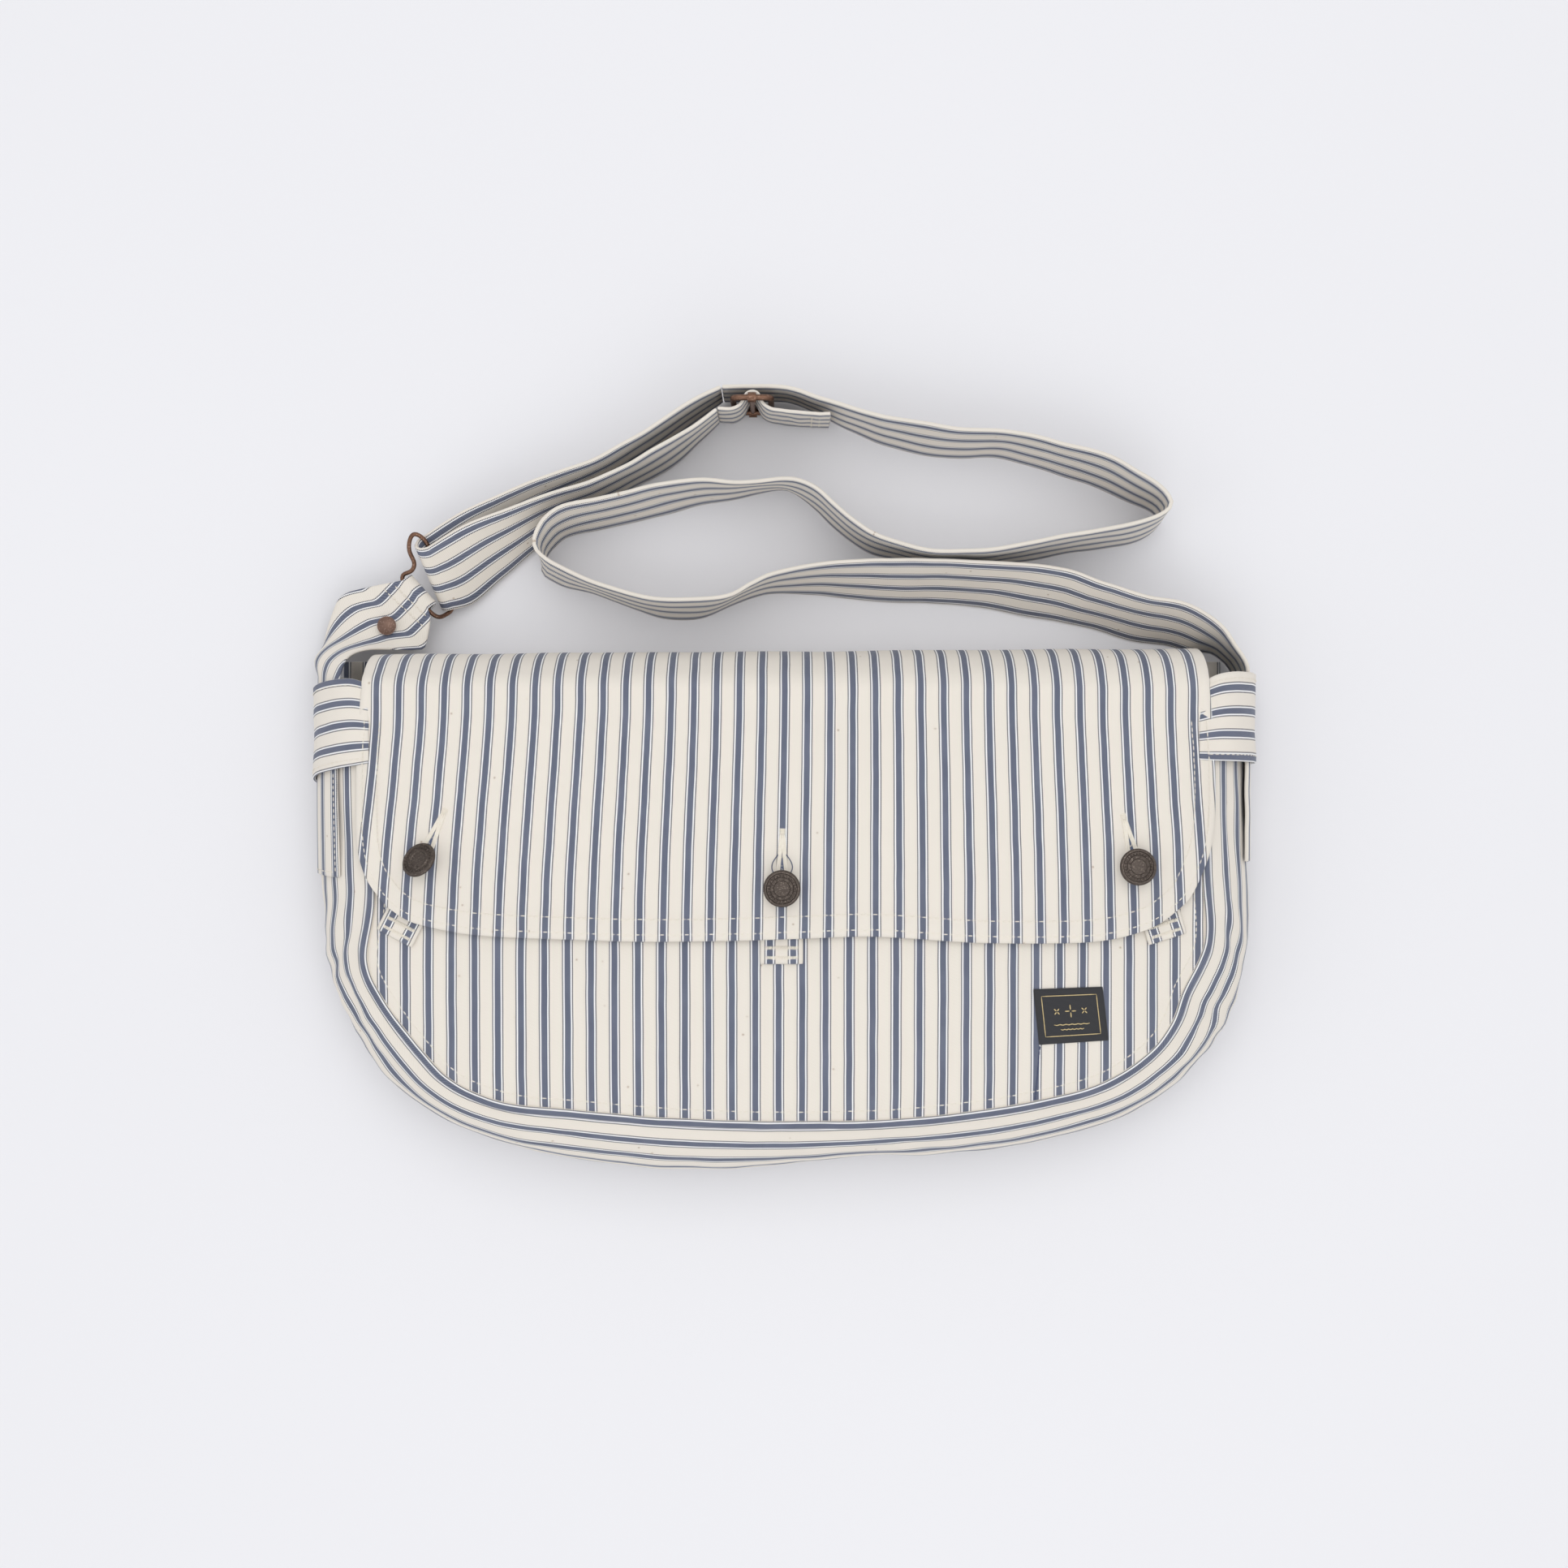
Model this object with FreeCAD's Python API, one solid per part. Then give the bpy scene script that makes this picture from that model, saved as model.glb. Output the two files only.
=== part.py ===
"""Striped ticking mail sack lying on its back: cloth bag, flap, shoulder strap and metal fittings.

Origin at the middle of the back panel's rest face, +Y towards the bag's mouth,
+Z out of the front, millimetres throughout.
"""
import FreeCAD
import Part
import math
import os

V = FreeCAD.Vector

# --- driving dimensions -------------------------------------------------
CLOTH = 1.6            # ticking, one stitched layer
BACK_T = 2.0           # back panel
STRAP_T = 2.0          # strap, folded and stitched double
STRAP_W = 40.0
STRAP_LOW = 1.3        # lower edge above the floor
SEAM_R = 1.7           # half width of a felled seam
SEAM_GAP = 2.2         # panel edge to seam line
MOUTH_Y = 88.0         # front panel's top edge
HINGE_Y = 112.0        # ridge that the flap turns about
HINGE_Z = 62.3
RIDGE_R = 1.2
FLAP_LIFT = 6.0        # flap's middle above the front panel's middle
BUTTON_R = 9.0
BUTTON_HOLE_R = 11.0
WIRE_R = 1.1           # strap loop wire
SLIDER_R = 1.5         # slider wire
SLIDER_W = 19.0        # between the side wires' middles
SLIDER_LOW, SLIDER_TOP = 1.9, 45.7
SLIDER_AT = (-16.0, 257.0)
RIVET_AT = (-202.0, 145.0)

# widest line of the bag, from the mouth's left end round the bottom to the right
GIRTH = [(-233, 119), (-233.5, 67), (-233, 16), (-231, -4), (-227, -31), (-216, -58), (-205, -77),
         (-190, -92), (-170, -105), (-145, -115), (-118, -122), (-90, -126), (-60, -129), (-28, -129.5),
         (0, -127.5), (25, -125), (48, -122.5), (77, -121.5), (106, -119), (136, -114), (166, -105),
         (190, -92), (208, -76), (220, -60), (229, -39), (233, -20), (234.5, 0), (233.5, 21),
         (232, 60), (231, 119)]
# line of the front seam, the same way round
FRONT_SEAM = [(-206, 106), (-205, 60), (-203, 9), (-207, -22), (-198, -43), (-178, -69), (-162, -84),
              (-135, -94), (-101, -97.5), (-60, -101), (-28, -102.5), (0, -103), (50, -102), (96, -97.5),
              (130, -91.5), (158, -83.5), (180, -69), (192, -54), (198, -38), (209, -14), (208, 20),
              (207, 60), (207, 106)]
# flap's free edge, hinge to hinge
FLAP_LEFT = [(-212, 110), (-211.5, 85), (-210, 55), (-208.5, 42), (-203, 25), (-197, 8)]
FLAP_HEM = [(-197, 8), (-185, -1), (-173, -7), (-146, -9.5), (-106, -11), (-66, -12), (-26, -11.5),
            (6, -10.5), (45, -9.5), (93, -12.5), (133, -13), (155, -11), (173, -5), (190, 8)]
FLAP_RIGHT = [(190, 8), (202, 20), (208, 32), (211, 55), (212.5, 80), (212, 110)]

# shoulder strap: top edge (x, y) and how far its bottom edge stands towards -Y
RUN_LOW = [(235.6, 26, 0), (235.7, 50, 0), (235.6, 80, 0), (235.5, 102, 0), (235, 112, 0),
           (233.4, 119.5, 0), (230.4, 126.5, 1), (226, 133.5, 4), (220, 143, 10), (210, 151, 17),
           (199, 156, 19), (182, 159, 20), (162, 165, 20), (144, 172, 23), (122, 175, 22), (100, 176, 19),
           (75, 177, 18), (46, 177, 17), (19, 175, 12), (-5, 170, 6), (-16, 165, 3), (-27, 159, 1),
           (-43, 157, 6), (-61, 157, 6), (-78, 160, 4), (-96, 166, 3), (-112, 173, 6)]
RUN_TURN = [(-112, 173, 6), (-119, 177, 7), (-124, 182, 9), (-125, 187, 10), (-123.5, 192, 10),
            (-120, 198, 11), (-112, 203.5, 10), (-96, 207, 10)]
RUN_MID = [(-96, 207, 10), (-78, 211, 10), (-61, 215, 10), (-43, 217, 7), (-27, 215.5, 3),
           (-12, 216, 0), (0, 217.5, 0), (8, 216.5, 2), (17, 212, 5), (26, 204, 6), (35, 196.5, 6),
           (46, 189.5, 5), (60, 184.5, 3), (75, 181.5, 3), (90, 181, 3), (104, 182, 4), (126, 186, 5),
           (148, 190, 5), (173, 194.5, 6)]
RUN_BACK = [(173, 194.5, 6), (184, 197.5, 6), (191, 201, 5), (194, 205, 4), (191.5, 210.5, 5),
            (186, 215.5, 7), (177, 221, 9)]
RUN_HIGH = [(177, 221, 9), (162, 229, 10), (142, 234.5, 9), (124, 239, 8), (108, 241.5, 7),
            (90, 242, 8), (71, 245, 9), (50, 248.5, 7), (32, 253.5, 4), (17, 258, 1), (5, 262.2, 0),
            (-6, 263.4, 0), (-30.6, 263.2, 0)]
# doubled section between the slider and the wire loop: upper and lower edge (x, y, z)
OUTER_UP = [(-181.2, 184.8, 21.2), (-161, 195.5, 28), (-132, 206, 32), (-114, 212, 34), (-96, 217, 36),
            (-78, 225, 38), (-64, 233, 40), (-47, 242, 42), (-34, 251.4, 43)]
OUTER_LOW = [(-170.9, 154.8, 8.6), (-160.5, 158.5, 4.8), (-145, 172, 3.2), (-128, 187, 3), (-112, 199, 3),
             (-95, 208, 3), (-79, 218, 3), (-57, 230, 3), (-34, 251.4, 3.4)]
INNER_UP = [(-183.2, 191.3, 16.9), (-163, 203, 23.5), (-134, 215, 28), (-114, 222, 31), (-96, 228, 34),
            (-78, 237, 37), (-62, 246, 39), (-47, 256, 41), (-32, 262.8, 42)]
INNER_LOW = [(-170, 161.2, 2.7), (-160, 166.5, 1.6), (-145, 182, 1.4), (-130, 195, 1.4), (-114, 207, 1.4),
             (-97, 217, 1.4), (-80, 228, 1.4), (-60, 242, 1.4), (-32, 262.8, 2.6)]
FREE_END = [(-33, 252.2), (-26.5, 251.8), (-22.4, 253.6), (-19.9, 257), (-18.6, 259.6), (-16, 260.8),
            (-13.4, 259.6), (-12.1, 257), (-9.6, 253.6), (-5.5, 251.8), (4, 250.4), (14, 249.6), (23, 249.4)]

# loop tab beyond the bag's mouth: left and right edge of its upper layer (x, y, z)
TAB_LEFT = [(-238.4, 127, 5.5), (-236.5, 135, 8.5), (-232, 147, 12), (-223, 160, 15.5),
            (-207, 167.5, 17.8), (-194.4, 168.2, 18)]
TAB_RIGHT = [(-219, 127, 39.5), (-209.5, 133.4, 31), (-197, 134.4, 24), (-188, 136.5, 20.5),
             (-183.2, 141, 19.2), (-181.3, 147, 18.6), (-181.4, 151, 18.2), (-182, 154.3, 18)]
# cross-wise bands over the bag's sides: x, z, upper and lower edge's y
SIDE_BANDS = {
    "left": [(-236.6, 5.5, 111.4, 64.1), (-237.2, 11, 111.6, 64.5), (-237.4, 17, 111.9, 64.9),
             (-237.4, 28, 112.5, 66.4), (-235.4, 37, 113.2, 68), (-231, 45.2, 113.8, 70.2),
             (-221.5, 54, 114.2, 72.4), (-210.5, 58.6, 114.5, 74.1)],
    "right": [(239.7, 5.5, 118, 75), (239.4, 11, 118, 75), (238.5, 17, 118, 75.1), (238.5, 30, 117.8, 75.3),
              (238.3, 40, 117.2, 75.5), (236, 45.6, 116.6, 75.8), (224, 54.2, 115.4, 76.1),
              (210.5, 58.6, 114.5, 76.4)],
}
LOOP_PATH = [(-195.4, 168.6, 14), (-194.6, 171.9, 14.4), (-191, 173.4, 15.4), (-189, 176.8, 16.8),
             (-190.6, 181.8, 18.6), (-191, 187.2, 20.2), (-188.4, 191.6, 21.2), (-184.6, 190.2, 20.4),
             (-180.6, 182, 16.4), (-175.2, 168, 10.2), (-171.6, 158.6, 6.2), (-171.6, 154.6, 5.6),
             (-174.2, 151.8, 8), (-177.6, 150.3, 12), (-181, 152.4, 13.8), (-188, 160.9, 14)]
BUTTONS = {  # axis foot (x, y), lean of the axis in degrees, heading of the lean
    "left": (-177.0, 27.0, 38.0, 130.0),
    "centre": (-1.0, 14.0, 4.0, 250.0),
    "right": (172.0, 24.0, 9.0, 60.0),
}
TABS = {  # lower end's middle, width, length, turn
    "left": (-191.0, -20.5, 20.0, 62.0, -25.0),
    "centre": (-1.2, -27.0, 20.0, 54.0, 0.0),
    "right": (189.5, -18.0, 20.0, 58.0, 15.0),
}
LABEL = [(122, -36), (156, -35), (159, -61), (125, -63)]


# --- helpers -------------------------------------------------------------
def curve(points):
    """Smooth curve through the points."""
    spline = Part.BSplineCurve()
    spline.interpolate([V(*p) for p in points])
    return spline


def stations(points, count):
    """The given number of points, evenly spaced along the curve."""
    return curve(points).toShape().discretize(Number=count)


def lerp(a, b, t):
    return a + (b - a) * t


def smooth(t):
    t = min(max(t, 0.0), 1.0)
    return t * t * (3 - 2 * t)


def skin(grid):
    surface = Part.BSplineSurface()
    surface.interpolate(grid)
    return surface


def normals(grid):
    """Unit normal at each grid point from its neighbours."""
    rows, cols = len(grid), len(grid[0])
    result = []
    for i in range(rows):
        row = []
        for j in range(cols):
            along = grid[min(i + 1, rows - 1)][j] - grid[max(i - 1, 0)][j]
            across = grid[i][min(j + 1, cols - 1)] - grid[i][max(j - 1, 0)]
            normal = along.cross(across)
            normal.normalize()
            row.append(normal)
        result.append(row)
    return result


def sheet(grid, thickness, offset=0.0):
    """Closed solid of even thickness about the surface through the grid."""
    normal = normals(grid)
    faces = []
    skins = []
    for side in (0.5, -0.5):
        shift = offset + side * thickness
        moved = [[p + n * shift for p, n in zip(prow, nrow)] for prow, nrow in zip(grid, normal)]
        skins.append(skin(moved))
    faces.extend(s.toShape() for s in skins)
    u0, u1, v0, v1 = skins[0].bounds()
    w0, w1, x0, x1 = skins[1].bounds()
    rims = [(skins[0].uIso(u0), skins[1].uIso(w0)), (skins[0].uIso(u1), skins[1].uIso(w1)),
            (skins[0].vIso(v0), skins[1].vIso(x0)), (skins[0].vIso(v1), skins[1].vIso(x1))]
    for one, two in rims:
        faces.append(Part.makeRuledSurface(one.toShape(), two.toShape()))
    shell = Part.makeShell(faces)
    shell.sewShape()
    if shell.ShapeType != "Shell":
        shell = shell.Shells[0]
    solid = Part.makeSolid(shell)
    if solid.Volume < 0:
        solid.reverse()
    return solid


def blend_rows(lower, upper, count):
    """Grid rows from one edge to the other, straight across."""
    return [[p + (q - p) * (k / (count - 1)) for k in range(count)] for p, q in zip(lower, upper)]


def coons(left, bottom, right, rows, cols):
    """Flat grid inside a U-shaped outline with a straight top, first row at the bottom."""
    west = list(reversed(stations([p + (0,) for p in left], rows)))
    east = stations([p + (0,) for p in right], rows)
    south = stations([p + (0,) for p in bottom], cols)
    grid = []
    for i in range(rows):
        v = i / (rows - 1)
        row = []
        for j in range(cols):
            u = j / (cols - 1)
            north = west[-1] + (east[-1] - west[-1]) * u
            ruled = west[i] * (1 - u) + east[i] * u + south[j] * (1 - v) + north * v
            corners = (west[0] * ((1 - u) * (1 - v)) + east[0] * (u * (1 - v))
                       + west[-1] * ((1 - u) * v) + east[-1] * (u * v))
            row.append(ruled - corners)
        grid.append(row)
    return grid


def front_height(x, y):
    """Middle of the filled front panel above the floor."""
    across = 1 - min(abs(x / 216) ** 3, 1)
    along = 1 - min(abs((y + 5) / 118) ** 3, 1)
    return 56 + 11 * across * along


def flap_height(x, y):
    rise = smooth((HINGE_Y - y) / 22)
    return lerp(HINGE_Z, front_height(x, y) + FLAP_LIFT, rise)


def draped(grid, height, lift=0.0):
    return [[V(p.x, p.y, height(p.x, p.y) + lift) for p in row] for row in grid]


def quad(corners, rows, cols):
    """Flat grid over four corners given round the outline."""
    a, b, c, d = [V(*p, 0) for p in corners]
    grid = []
    for i in range(rows):
        left = a + (d - a) * (i / (rows - 1))
        right = b + (c - b) * (i / (rows - 1))
        grid.append([left + (right - left) * (j / (cols - 1)) for j in range(cols)])
    return grid


def turned(point, centre, degrees):
    a = math.radians(degrees)
    x, y = point[0] - centre[0], point[1] - centre[1]
    return (centre[0] + x * math.cos(a) - y * math.sin(a), centre[1] + x * math.sin(a) + y * math.cos(a))


def folded(rows, thickness):
    """Tightly folded strip from straight cross lines, flat between them."""
    lines = []
    half = thickness / 2
    for row, normal in zip(rows, normals(rows)):
        side = (normal[0] + normal[1]).normalize() * half
        ends = [row[0] + side, row[1] + side, row[1] - side, row[0] - side]
        lines.append(Part.makePolygon(ends + [ends[0]]))
    return Part.makeLoft(lines, True, True)


def ribbon(low, high, count, thickness, trim=0.0):
    """Flat strap between its two long edges, each end drawn back by the trim."""
    edges = []
    for points in (low, high):
        line = stations(points, count)
        line[0] = line[0] + (line[1] - line[0]).normalize() * trim
        line[-1] = line[-1] + (line[-2] - line[-1]).normalize() * trim
        edges.append(line)
    return sheet(blend_rows(edges[0], edges[1], 4), thickness)


def standing(points, low):
    """Both long edges of a strap run that stands on edge, from (x, y, lean) triples."""
    tall = [math.sqrt(max(STRAP_W ** 2 - lean ** 2, 400)) for _, _, lean in points]
    bottom = [(x, y - lean, low) for x, y, lean in points]
    top = [(x, y, low + rise) for (x, y, lean), rise in zip(points, tall)]
    return bottom, top


def strap_run(points, count):
    bottom, top = standing(points, STRAP_LOW)
    return ribbon(bottom, top, count, STRAP_T, 0.4)


def cylinder(radius, start, end):
    axis = end - start
    return Part.makeCylinder(radius, axis.Length, start, axis)


def wire_ring(points, radius):
    """Closed wire through the points, swept in four lengths."""
    spline = Part.BSplineCurve()
    spline.interpolate([V(*p) for p in points], PeriodicFlag=True)
    first, last = spline.FirstParameter, spline.LastParameter
    lengths = []
    for k in range(4):
        edge = spline.toShape(lerp(first, last, k / 4), lerp(first, last, (k + 1) / 4))
        start = edge.ParameterRange[0]
        circle = Part.Wire(Part.makeCircle(radius, edge.valueAt(start), edge.tangentAt(start)))
        lengths.append(Part.Wire(edge).makePipeShell([circle], True, True))
    return lengths[0].fuse(lengths[1:])


def bent_bar(points, radius, bend):
    """Round bar along straight legs with rounded corners."""
    points = [V(*p) for p in points]
    shape = None
    for i in range(len(points) - 1):
        a, b = points[i], points[i + 1]
        heading = (b - a).normalize()
        start = a if i == 0 else a + heading * bend
        end = b if i == len(points) - 2 else b - heading * bend
        leg = cylinder(radius, start, end)
        shape = leg if shape is None else shape.fuse(leg)
        if i < len(points) - 2:
            nxt = (points[i + 2] - b).normalize()
            arc_start, arc_end = b - heading * bend, b + nxt * bend
            centre = arc_start + nxt * bend
            middle = centre + (b - centre).normalize() * bend
            arc = Part.Wire(Part.Arc(arc_start, middle, arc_end).toShape())
            circle = Part.Wire(Part.makeCircle(radius, arc_start, heading))
            shape = shape.fuse(arc.makePipeShell([circle], True, False))
    return shape.removeSplitter()


# --- bag ------------------------------------------------------------------
def girth_inset(distance):
    """Widest line moved in towards the middle of the bag."""
    line = curve([p + (0,) for p in GIRTH])
    edge = line.toShape()
    result = []
    for p in edge.discretize(Number=61):
        heading = line.tangent(line.parameter(p))[0]
        result.append(V(p.x - heading.y * distance, p.y + heading.x * distance, 0))
    return result


def gusset_grid(lift=0.0):
    """Rows round the bag; each goes from the back seam over the side to the front seam."""
    girth = girth_inset(0)
    seam = stations([p + (0,) for p in FRONT_SEAM], 61)
    grid = []
    for edge, top, low in zip(girth, seam, girth_inset(8)):
        inward = low - edge
        height = front_height(top.x, top.y)
        row = [V(low.x, low.y, 3.2)]
        for share, z in ((0.45, 8.0), (0.1, 17.0), (0.0, 28.0)):
            row.append(V(edge.x + inward.x * share, edge.y + inward.y * share, z))
        close = 1 - (SEAM_R + 1.8) / (top - edge).Length
        for share, drop in ((0.2, 17.0), (0.55, 6.5), (close, 0.9)):
            flat = edge + (top - edge) * share
            row.append(V(flat.x, flat.y, height - drop))
        grid.append(row)
    return grid


def sub_grid(grid, first, last, low, high, rows, cols):
    """Resampled part of a grid, by share of its length and of its width."""
    surface = skin(grid)
    u0, u1, v0, v1 = surface.bounds()
    result = []
    for i in range(rows):
        u = lerp(u0, u1, lerp(first, last, i / (rows - 1)))
        result.append([surface.value(u, lerp(v0, v1, lerp(low, high, j / (cols - 1)))) for j in range(cols)])
    return result


def side_band(side):
    """Band of cloth sewn over the bag's side, holding down the end of the strap or the loop tab."""
    rows = []
    for i in range(7):
        t = i / 6 if side == "left" else 1 - i / 6
        rows.append(stations([(x, lerp(upper, lower, t), z) for x, z, upper, lower in SIDE_BANDS[side]], 9))
    return sheet(rows, CLOTH)


def back_panel():
    edge = girth_inset(6.4)
    spline = Part.BSplineCurve()
    spline.interpolate([V(p.x, p.y, 0) for p in edge[::3]])
    first, last = spline.StartPoint, spline.EndPoint
    top_left = V(first.x, 127, 0)
    top_right = V(last.x, 127, 0)
    edges = [spline.toShape(), Part.makeLine(last, top_right), Part.makeLine(top_right, top_left),
             Part.makeLine(top_left, first)]
    return Part.Face(Part.Wire(edges)).extrude(V(0, 0, BACK_T))


def inner_outline(points, inset, top):
    """Front seam line moved inwards and split at the two bottom corners."""
    line = curve([p + (0,) for p in points])
    result = []
    for p in line.toShape().discretize(Number=73):
        heading = line.tangent(line.parameter(p))[0]
        q = V(p.x - heading.y * inset, p.y + heading.x * inset, 0)
        if q.y <= top:
            result.append((q.x, q.y))
    left = [p for p in result if p[0] < -176 or (p[0] < 0 and p[1] > -50)]
    right = [p for p in result if p[0] > 178 or (p[0] > 0 and p[1] > -50)]
    bottom = [left[-1]] + [p for p in result if p not in left and p not in right] + [right[0]]
    left[0] = (left[0][0], top)
    right[-1] = (right[-1][0], top)
    return left, bottom, right


def front_panel():
    left, bottom, right = inner_outline(FRONT_SEAM, SEAM_GAP, MOUTH_Y)
    flat = coons(left, bottom, right, 15, 25)
    return sheet(draped(flat, front_height), CLOTH)


def mouth_hem():
    flat = quad([(-200, MOUTH_Y - 14), (200, MOUTH_Y - 14), (200, MOUTH_Y - 1), (-200, MOUTH_Y - 1)], 4, 25)
    return sheet(draped(flat, front_height), 1.4, -(CLOTH / 2 + 0.8))


def welt(points, inset, height, radius=SEAM_R):
    """Raised felled seam."""
    line = curve([p + (0,) for p in points])
    path = []
    for p in line.toShape().discretize(Number=73):
        heading = line.tangent(line.parameter(p))[0]
        path.append(V(p.x - heading.y * inset, p.y + heading.x * inset, 0))
    rows = []
    for i, p in enumerate(path):
        heading = path[min(i + 1, 72)] - path[max(i - 1, 0)]
        side = V(-heading.y, heading.x, 0).normalize()
        z = height(p.x, p.y)
        rows.append([V(p.x, p.y, z) + side * (radius * k) for k in (-1, -0.33, 0.33, 1)])
    return sheet(rows, 2 * radius)


def bridge():
    """Back panel's cloth carried up round the mouth to the flap's ridge."""
    profile = [(127.5, 3.2), (129.6, 7), (131, 14), (131.2, 24), (129.8, 35), (126.2, 46),
               (120.6, 55), (116.6, 59.2), (HINGE_Y + 1.9, HINGE_Z - 1.5)]
    rows = []
    for k in range(13):
        x = lerp(-212, 214, k / 12)
        rows.append([V(x, y + 0.007 * x * smooth((y - 114) / 8), z) for y, z in profile])
    return sheet(rows, CLOTH)


def flap_parts():
    flat = coons(FLAP_LEFT, FLAP_HEM, FLAP_RIGHT, 15, 31)
    grid = draped(flat, flap_height)
    flap = sheet(grid, CLOTH)
    rim = []
    left = [V(*p, 0) for p in FLAP_LEFT[:-1]]
    path = left + [V(*p, 0) for p in FLAP_HEM] + [V(*p, 0) for p in FLAP_RIGHT[1:]]
    line = curve([(p.x, p.y, 0) for p in path])
    for p in line.toShape().discretize(Number=81):
        heading = line.tangent(line.parameter(p))[0]
        row = []
        for inset in (0.4, 4.0, 7.6, 11.2):
            x, y = p.x - heading.y * inset, p.y + heading.x * inset
            row.append(V(x, y, flap_height(x, y)))
        if p.y < 96:
            rim.append(row)
    down = -(CLOTH / 2 + 0.75)
    hem = sheet([[V(p.x, p.y, p.z + down) for p in row] for row in rim], 1.2)
    for foot in BUTTONS.values():
        hole = Part.makeCylinder(BUTTON_HOLE_R, 60, V(foot[0], foot[1], 45))
        flap = flap.cut(hole)
        hem = hem.cut(hole)
    return flap, hem


def button_axis(name):
    x, y, lean, heading = BUTTONS[name]
    a, b = math.radians(lean), math.radians(heading)
    axis = V(math.sin(a) * math.cos(b), math.sin(a) * math.sin(b), math.cos(a))
    return V(x, y, front_height(x, y) + 9.6), axis


def button_cap(name):
    """Domed tack button with a rolled rim and a raised ring."""
    foot, axis = button_axis(name)
    outline = [(0, 0), (8.2, 0), (9, 0.8), (9, 1.7), (8.4, 2.4), (7.6, 2.5), (7.2, 2.0), (5.9, 2.1),
               (5.4, 2.6), (4.2, 2.7), (3.7, 2.2), (0, 2.4)]
    pts = [V(r, 0, z) for r, z in outline]
    face = Part.Face(Part.makePolygon(pts + [pts[0]]))
    body = face.revolve(V(0, 0, 0), V(0, 0, 1), 360)
    body.Placement = FreeCAD.Placement(foot, FreeCAD.Rotation(V(0, 0, 1), axis))
    return body


def button_shank(name):
    """Hollow post under the cap; the tack's nail sits in it."""
    foot, axis = button_axis(name)
    post = Part.makeCylinder(2.6, 5.6, V(0, 0, -5.6)).cut(Part.makeCylinder(1.1, 5.4, V(0, 0, -6.0)))
    post.Placement = FreeCAD.Placement(foot, FreeCAD.Rotation(V(0, 0, 1), axis))
    return post


def button_tack(name):
    """Nail and its head inside the bag, through the tab and the front panel."""
    foot, axis = button_axis(name)
    x, y = BUTTONS[name][:2]
    base = foot - axis * 6.4
    nail = cylinder(0.7, base, foot - axis * 1.0)
    level = front_height(base.x, base.y) - 1.9
    link = cylinder(1.0, V(base.x, base.y, level), V(base.x, base.y, base.z + 0.9))
    head = Part.makeCylinder(4.2, 1.0, V(base.x, base.y, level - 0.9))
    return nail.fuse([link, head]).removeSplitter()


def tack_hole(name, radius=1.3):
    foot, axis = button_axis(name)
    base = foot - axis * 6.4
    return Part.makeCylinder(radius, 14, V(base.x, base.y, front_height(base.x, base.y) - 4))


def button_tab(name):
    """Double cloth strip under each button, bar-tacked at its lower end."""
    x, y, width, length, turn = TABS[name]
    corners = [(x - width / 2, y), (x + width / 2, y), (x + width / 2, y + length), (x - width / 2, y + length)]
    grid = quad([turned(c, (x, y + 6), turn) for c in corners], 9, 5)
    return sheet(draped(grid, front_height, CLOTH / 2 + 1.25), 2.0)


def bar_tacks(name):
    """Two rows of dense cross stitches holding a tab's lower end."""
    x, y, width, length, turn = TABS[name]
    rows = []
    for rise in (2.2, 7.0):
        corners = [(x - width * 0.38, y + rise), (x + width * 0.38, y + rise),
                   (x + width * 0.38, y + rise + 1.6), (x - width * 0.38, y + rise + 1.6)]
        grid = quad([turned(c, (x, y + 6), turn) for c in corners], 4, 5)
        rows.append(sheet(draped(grid, front_height, CLOTH / 2 + 2.75), 0.7))
    return Part.makeCompound(rows)


def loop_tab(side):
    """Strip leaving the bag's side, twisting flat towards the wire loop."""
    start = [p + n * 2.1 + V(0, 0.8, 0) for p, n in zip(side[0], normals(side)[0])]
    left, right = stations([start[0]] + TAB_LEFT, 29), stations([start[-1]] + TAB_RIGHT, 29)
    rows = blend_rows(left, right, len(start))
    for i, row in enumerate(rows):
        fade = 1 - smooth(i / 14)
        for k, curved in enumerate(start):
            straight = start[0] + (start[-1] - start[0]) * (k / (len(start) - 1))
            row[k] = row[k] + (curved - straight) * fade
    return sheet(rows, CLOTH)


def loop_tab_fold():
    """The strip's end turned under round the wire loop's narrow bar."""
    a, b = V(*TAB_LEFT[-1]), V(*TAB_RIGHT[-1])
    out = V(-(b.y - a.y), b.x - a.x, 0).normalize()
    rows = []
    for step in range(13):
        t = math.radians(15 * step)
        shift = out * (0.3 + 4.0 * math.sin(t)) + V(0, 0, -4.0 * (1 - math.cos(t)))
        rows.append([a + shift, b + shift])
    for back, drop in ((4, 9.2), (8, 10.4), (16, 12.3), (27, 14.4)):
        shift = V(0, 0, -drop) - out * back
        rows.append([a + shift, b + shift])
    return folded(rows, CLOTH)


def rivet():
    x, y = RIVET_AT
    top = 22.4
    cap = Part.makeCylinder(4.75, 0.9, V(x, y, top)).fuse(Part.makeSphere(9.5, V(x, y, top - 7.3)).common(
        Part.makeCylinder(4.3, 1.4, V(x, y, top + 0.8)))).removeSplitter()
    post = Part.makeCylinder(1.4, top - 3.1, V(x, y, 3.1))
    burr = Part.makeCylinder(4.2, 0.9, V(x, y, 2.2)).cut(Part.makeCylinder(1.1, 3, V(x, y, 0.4)))
    return cap, post, burr


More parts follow.
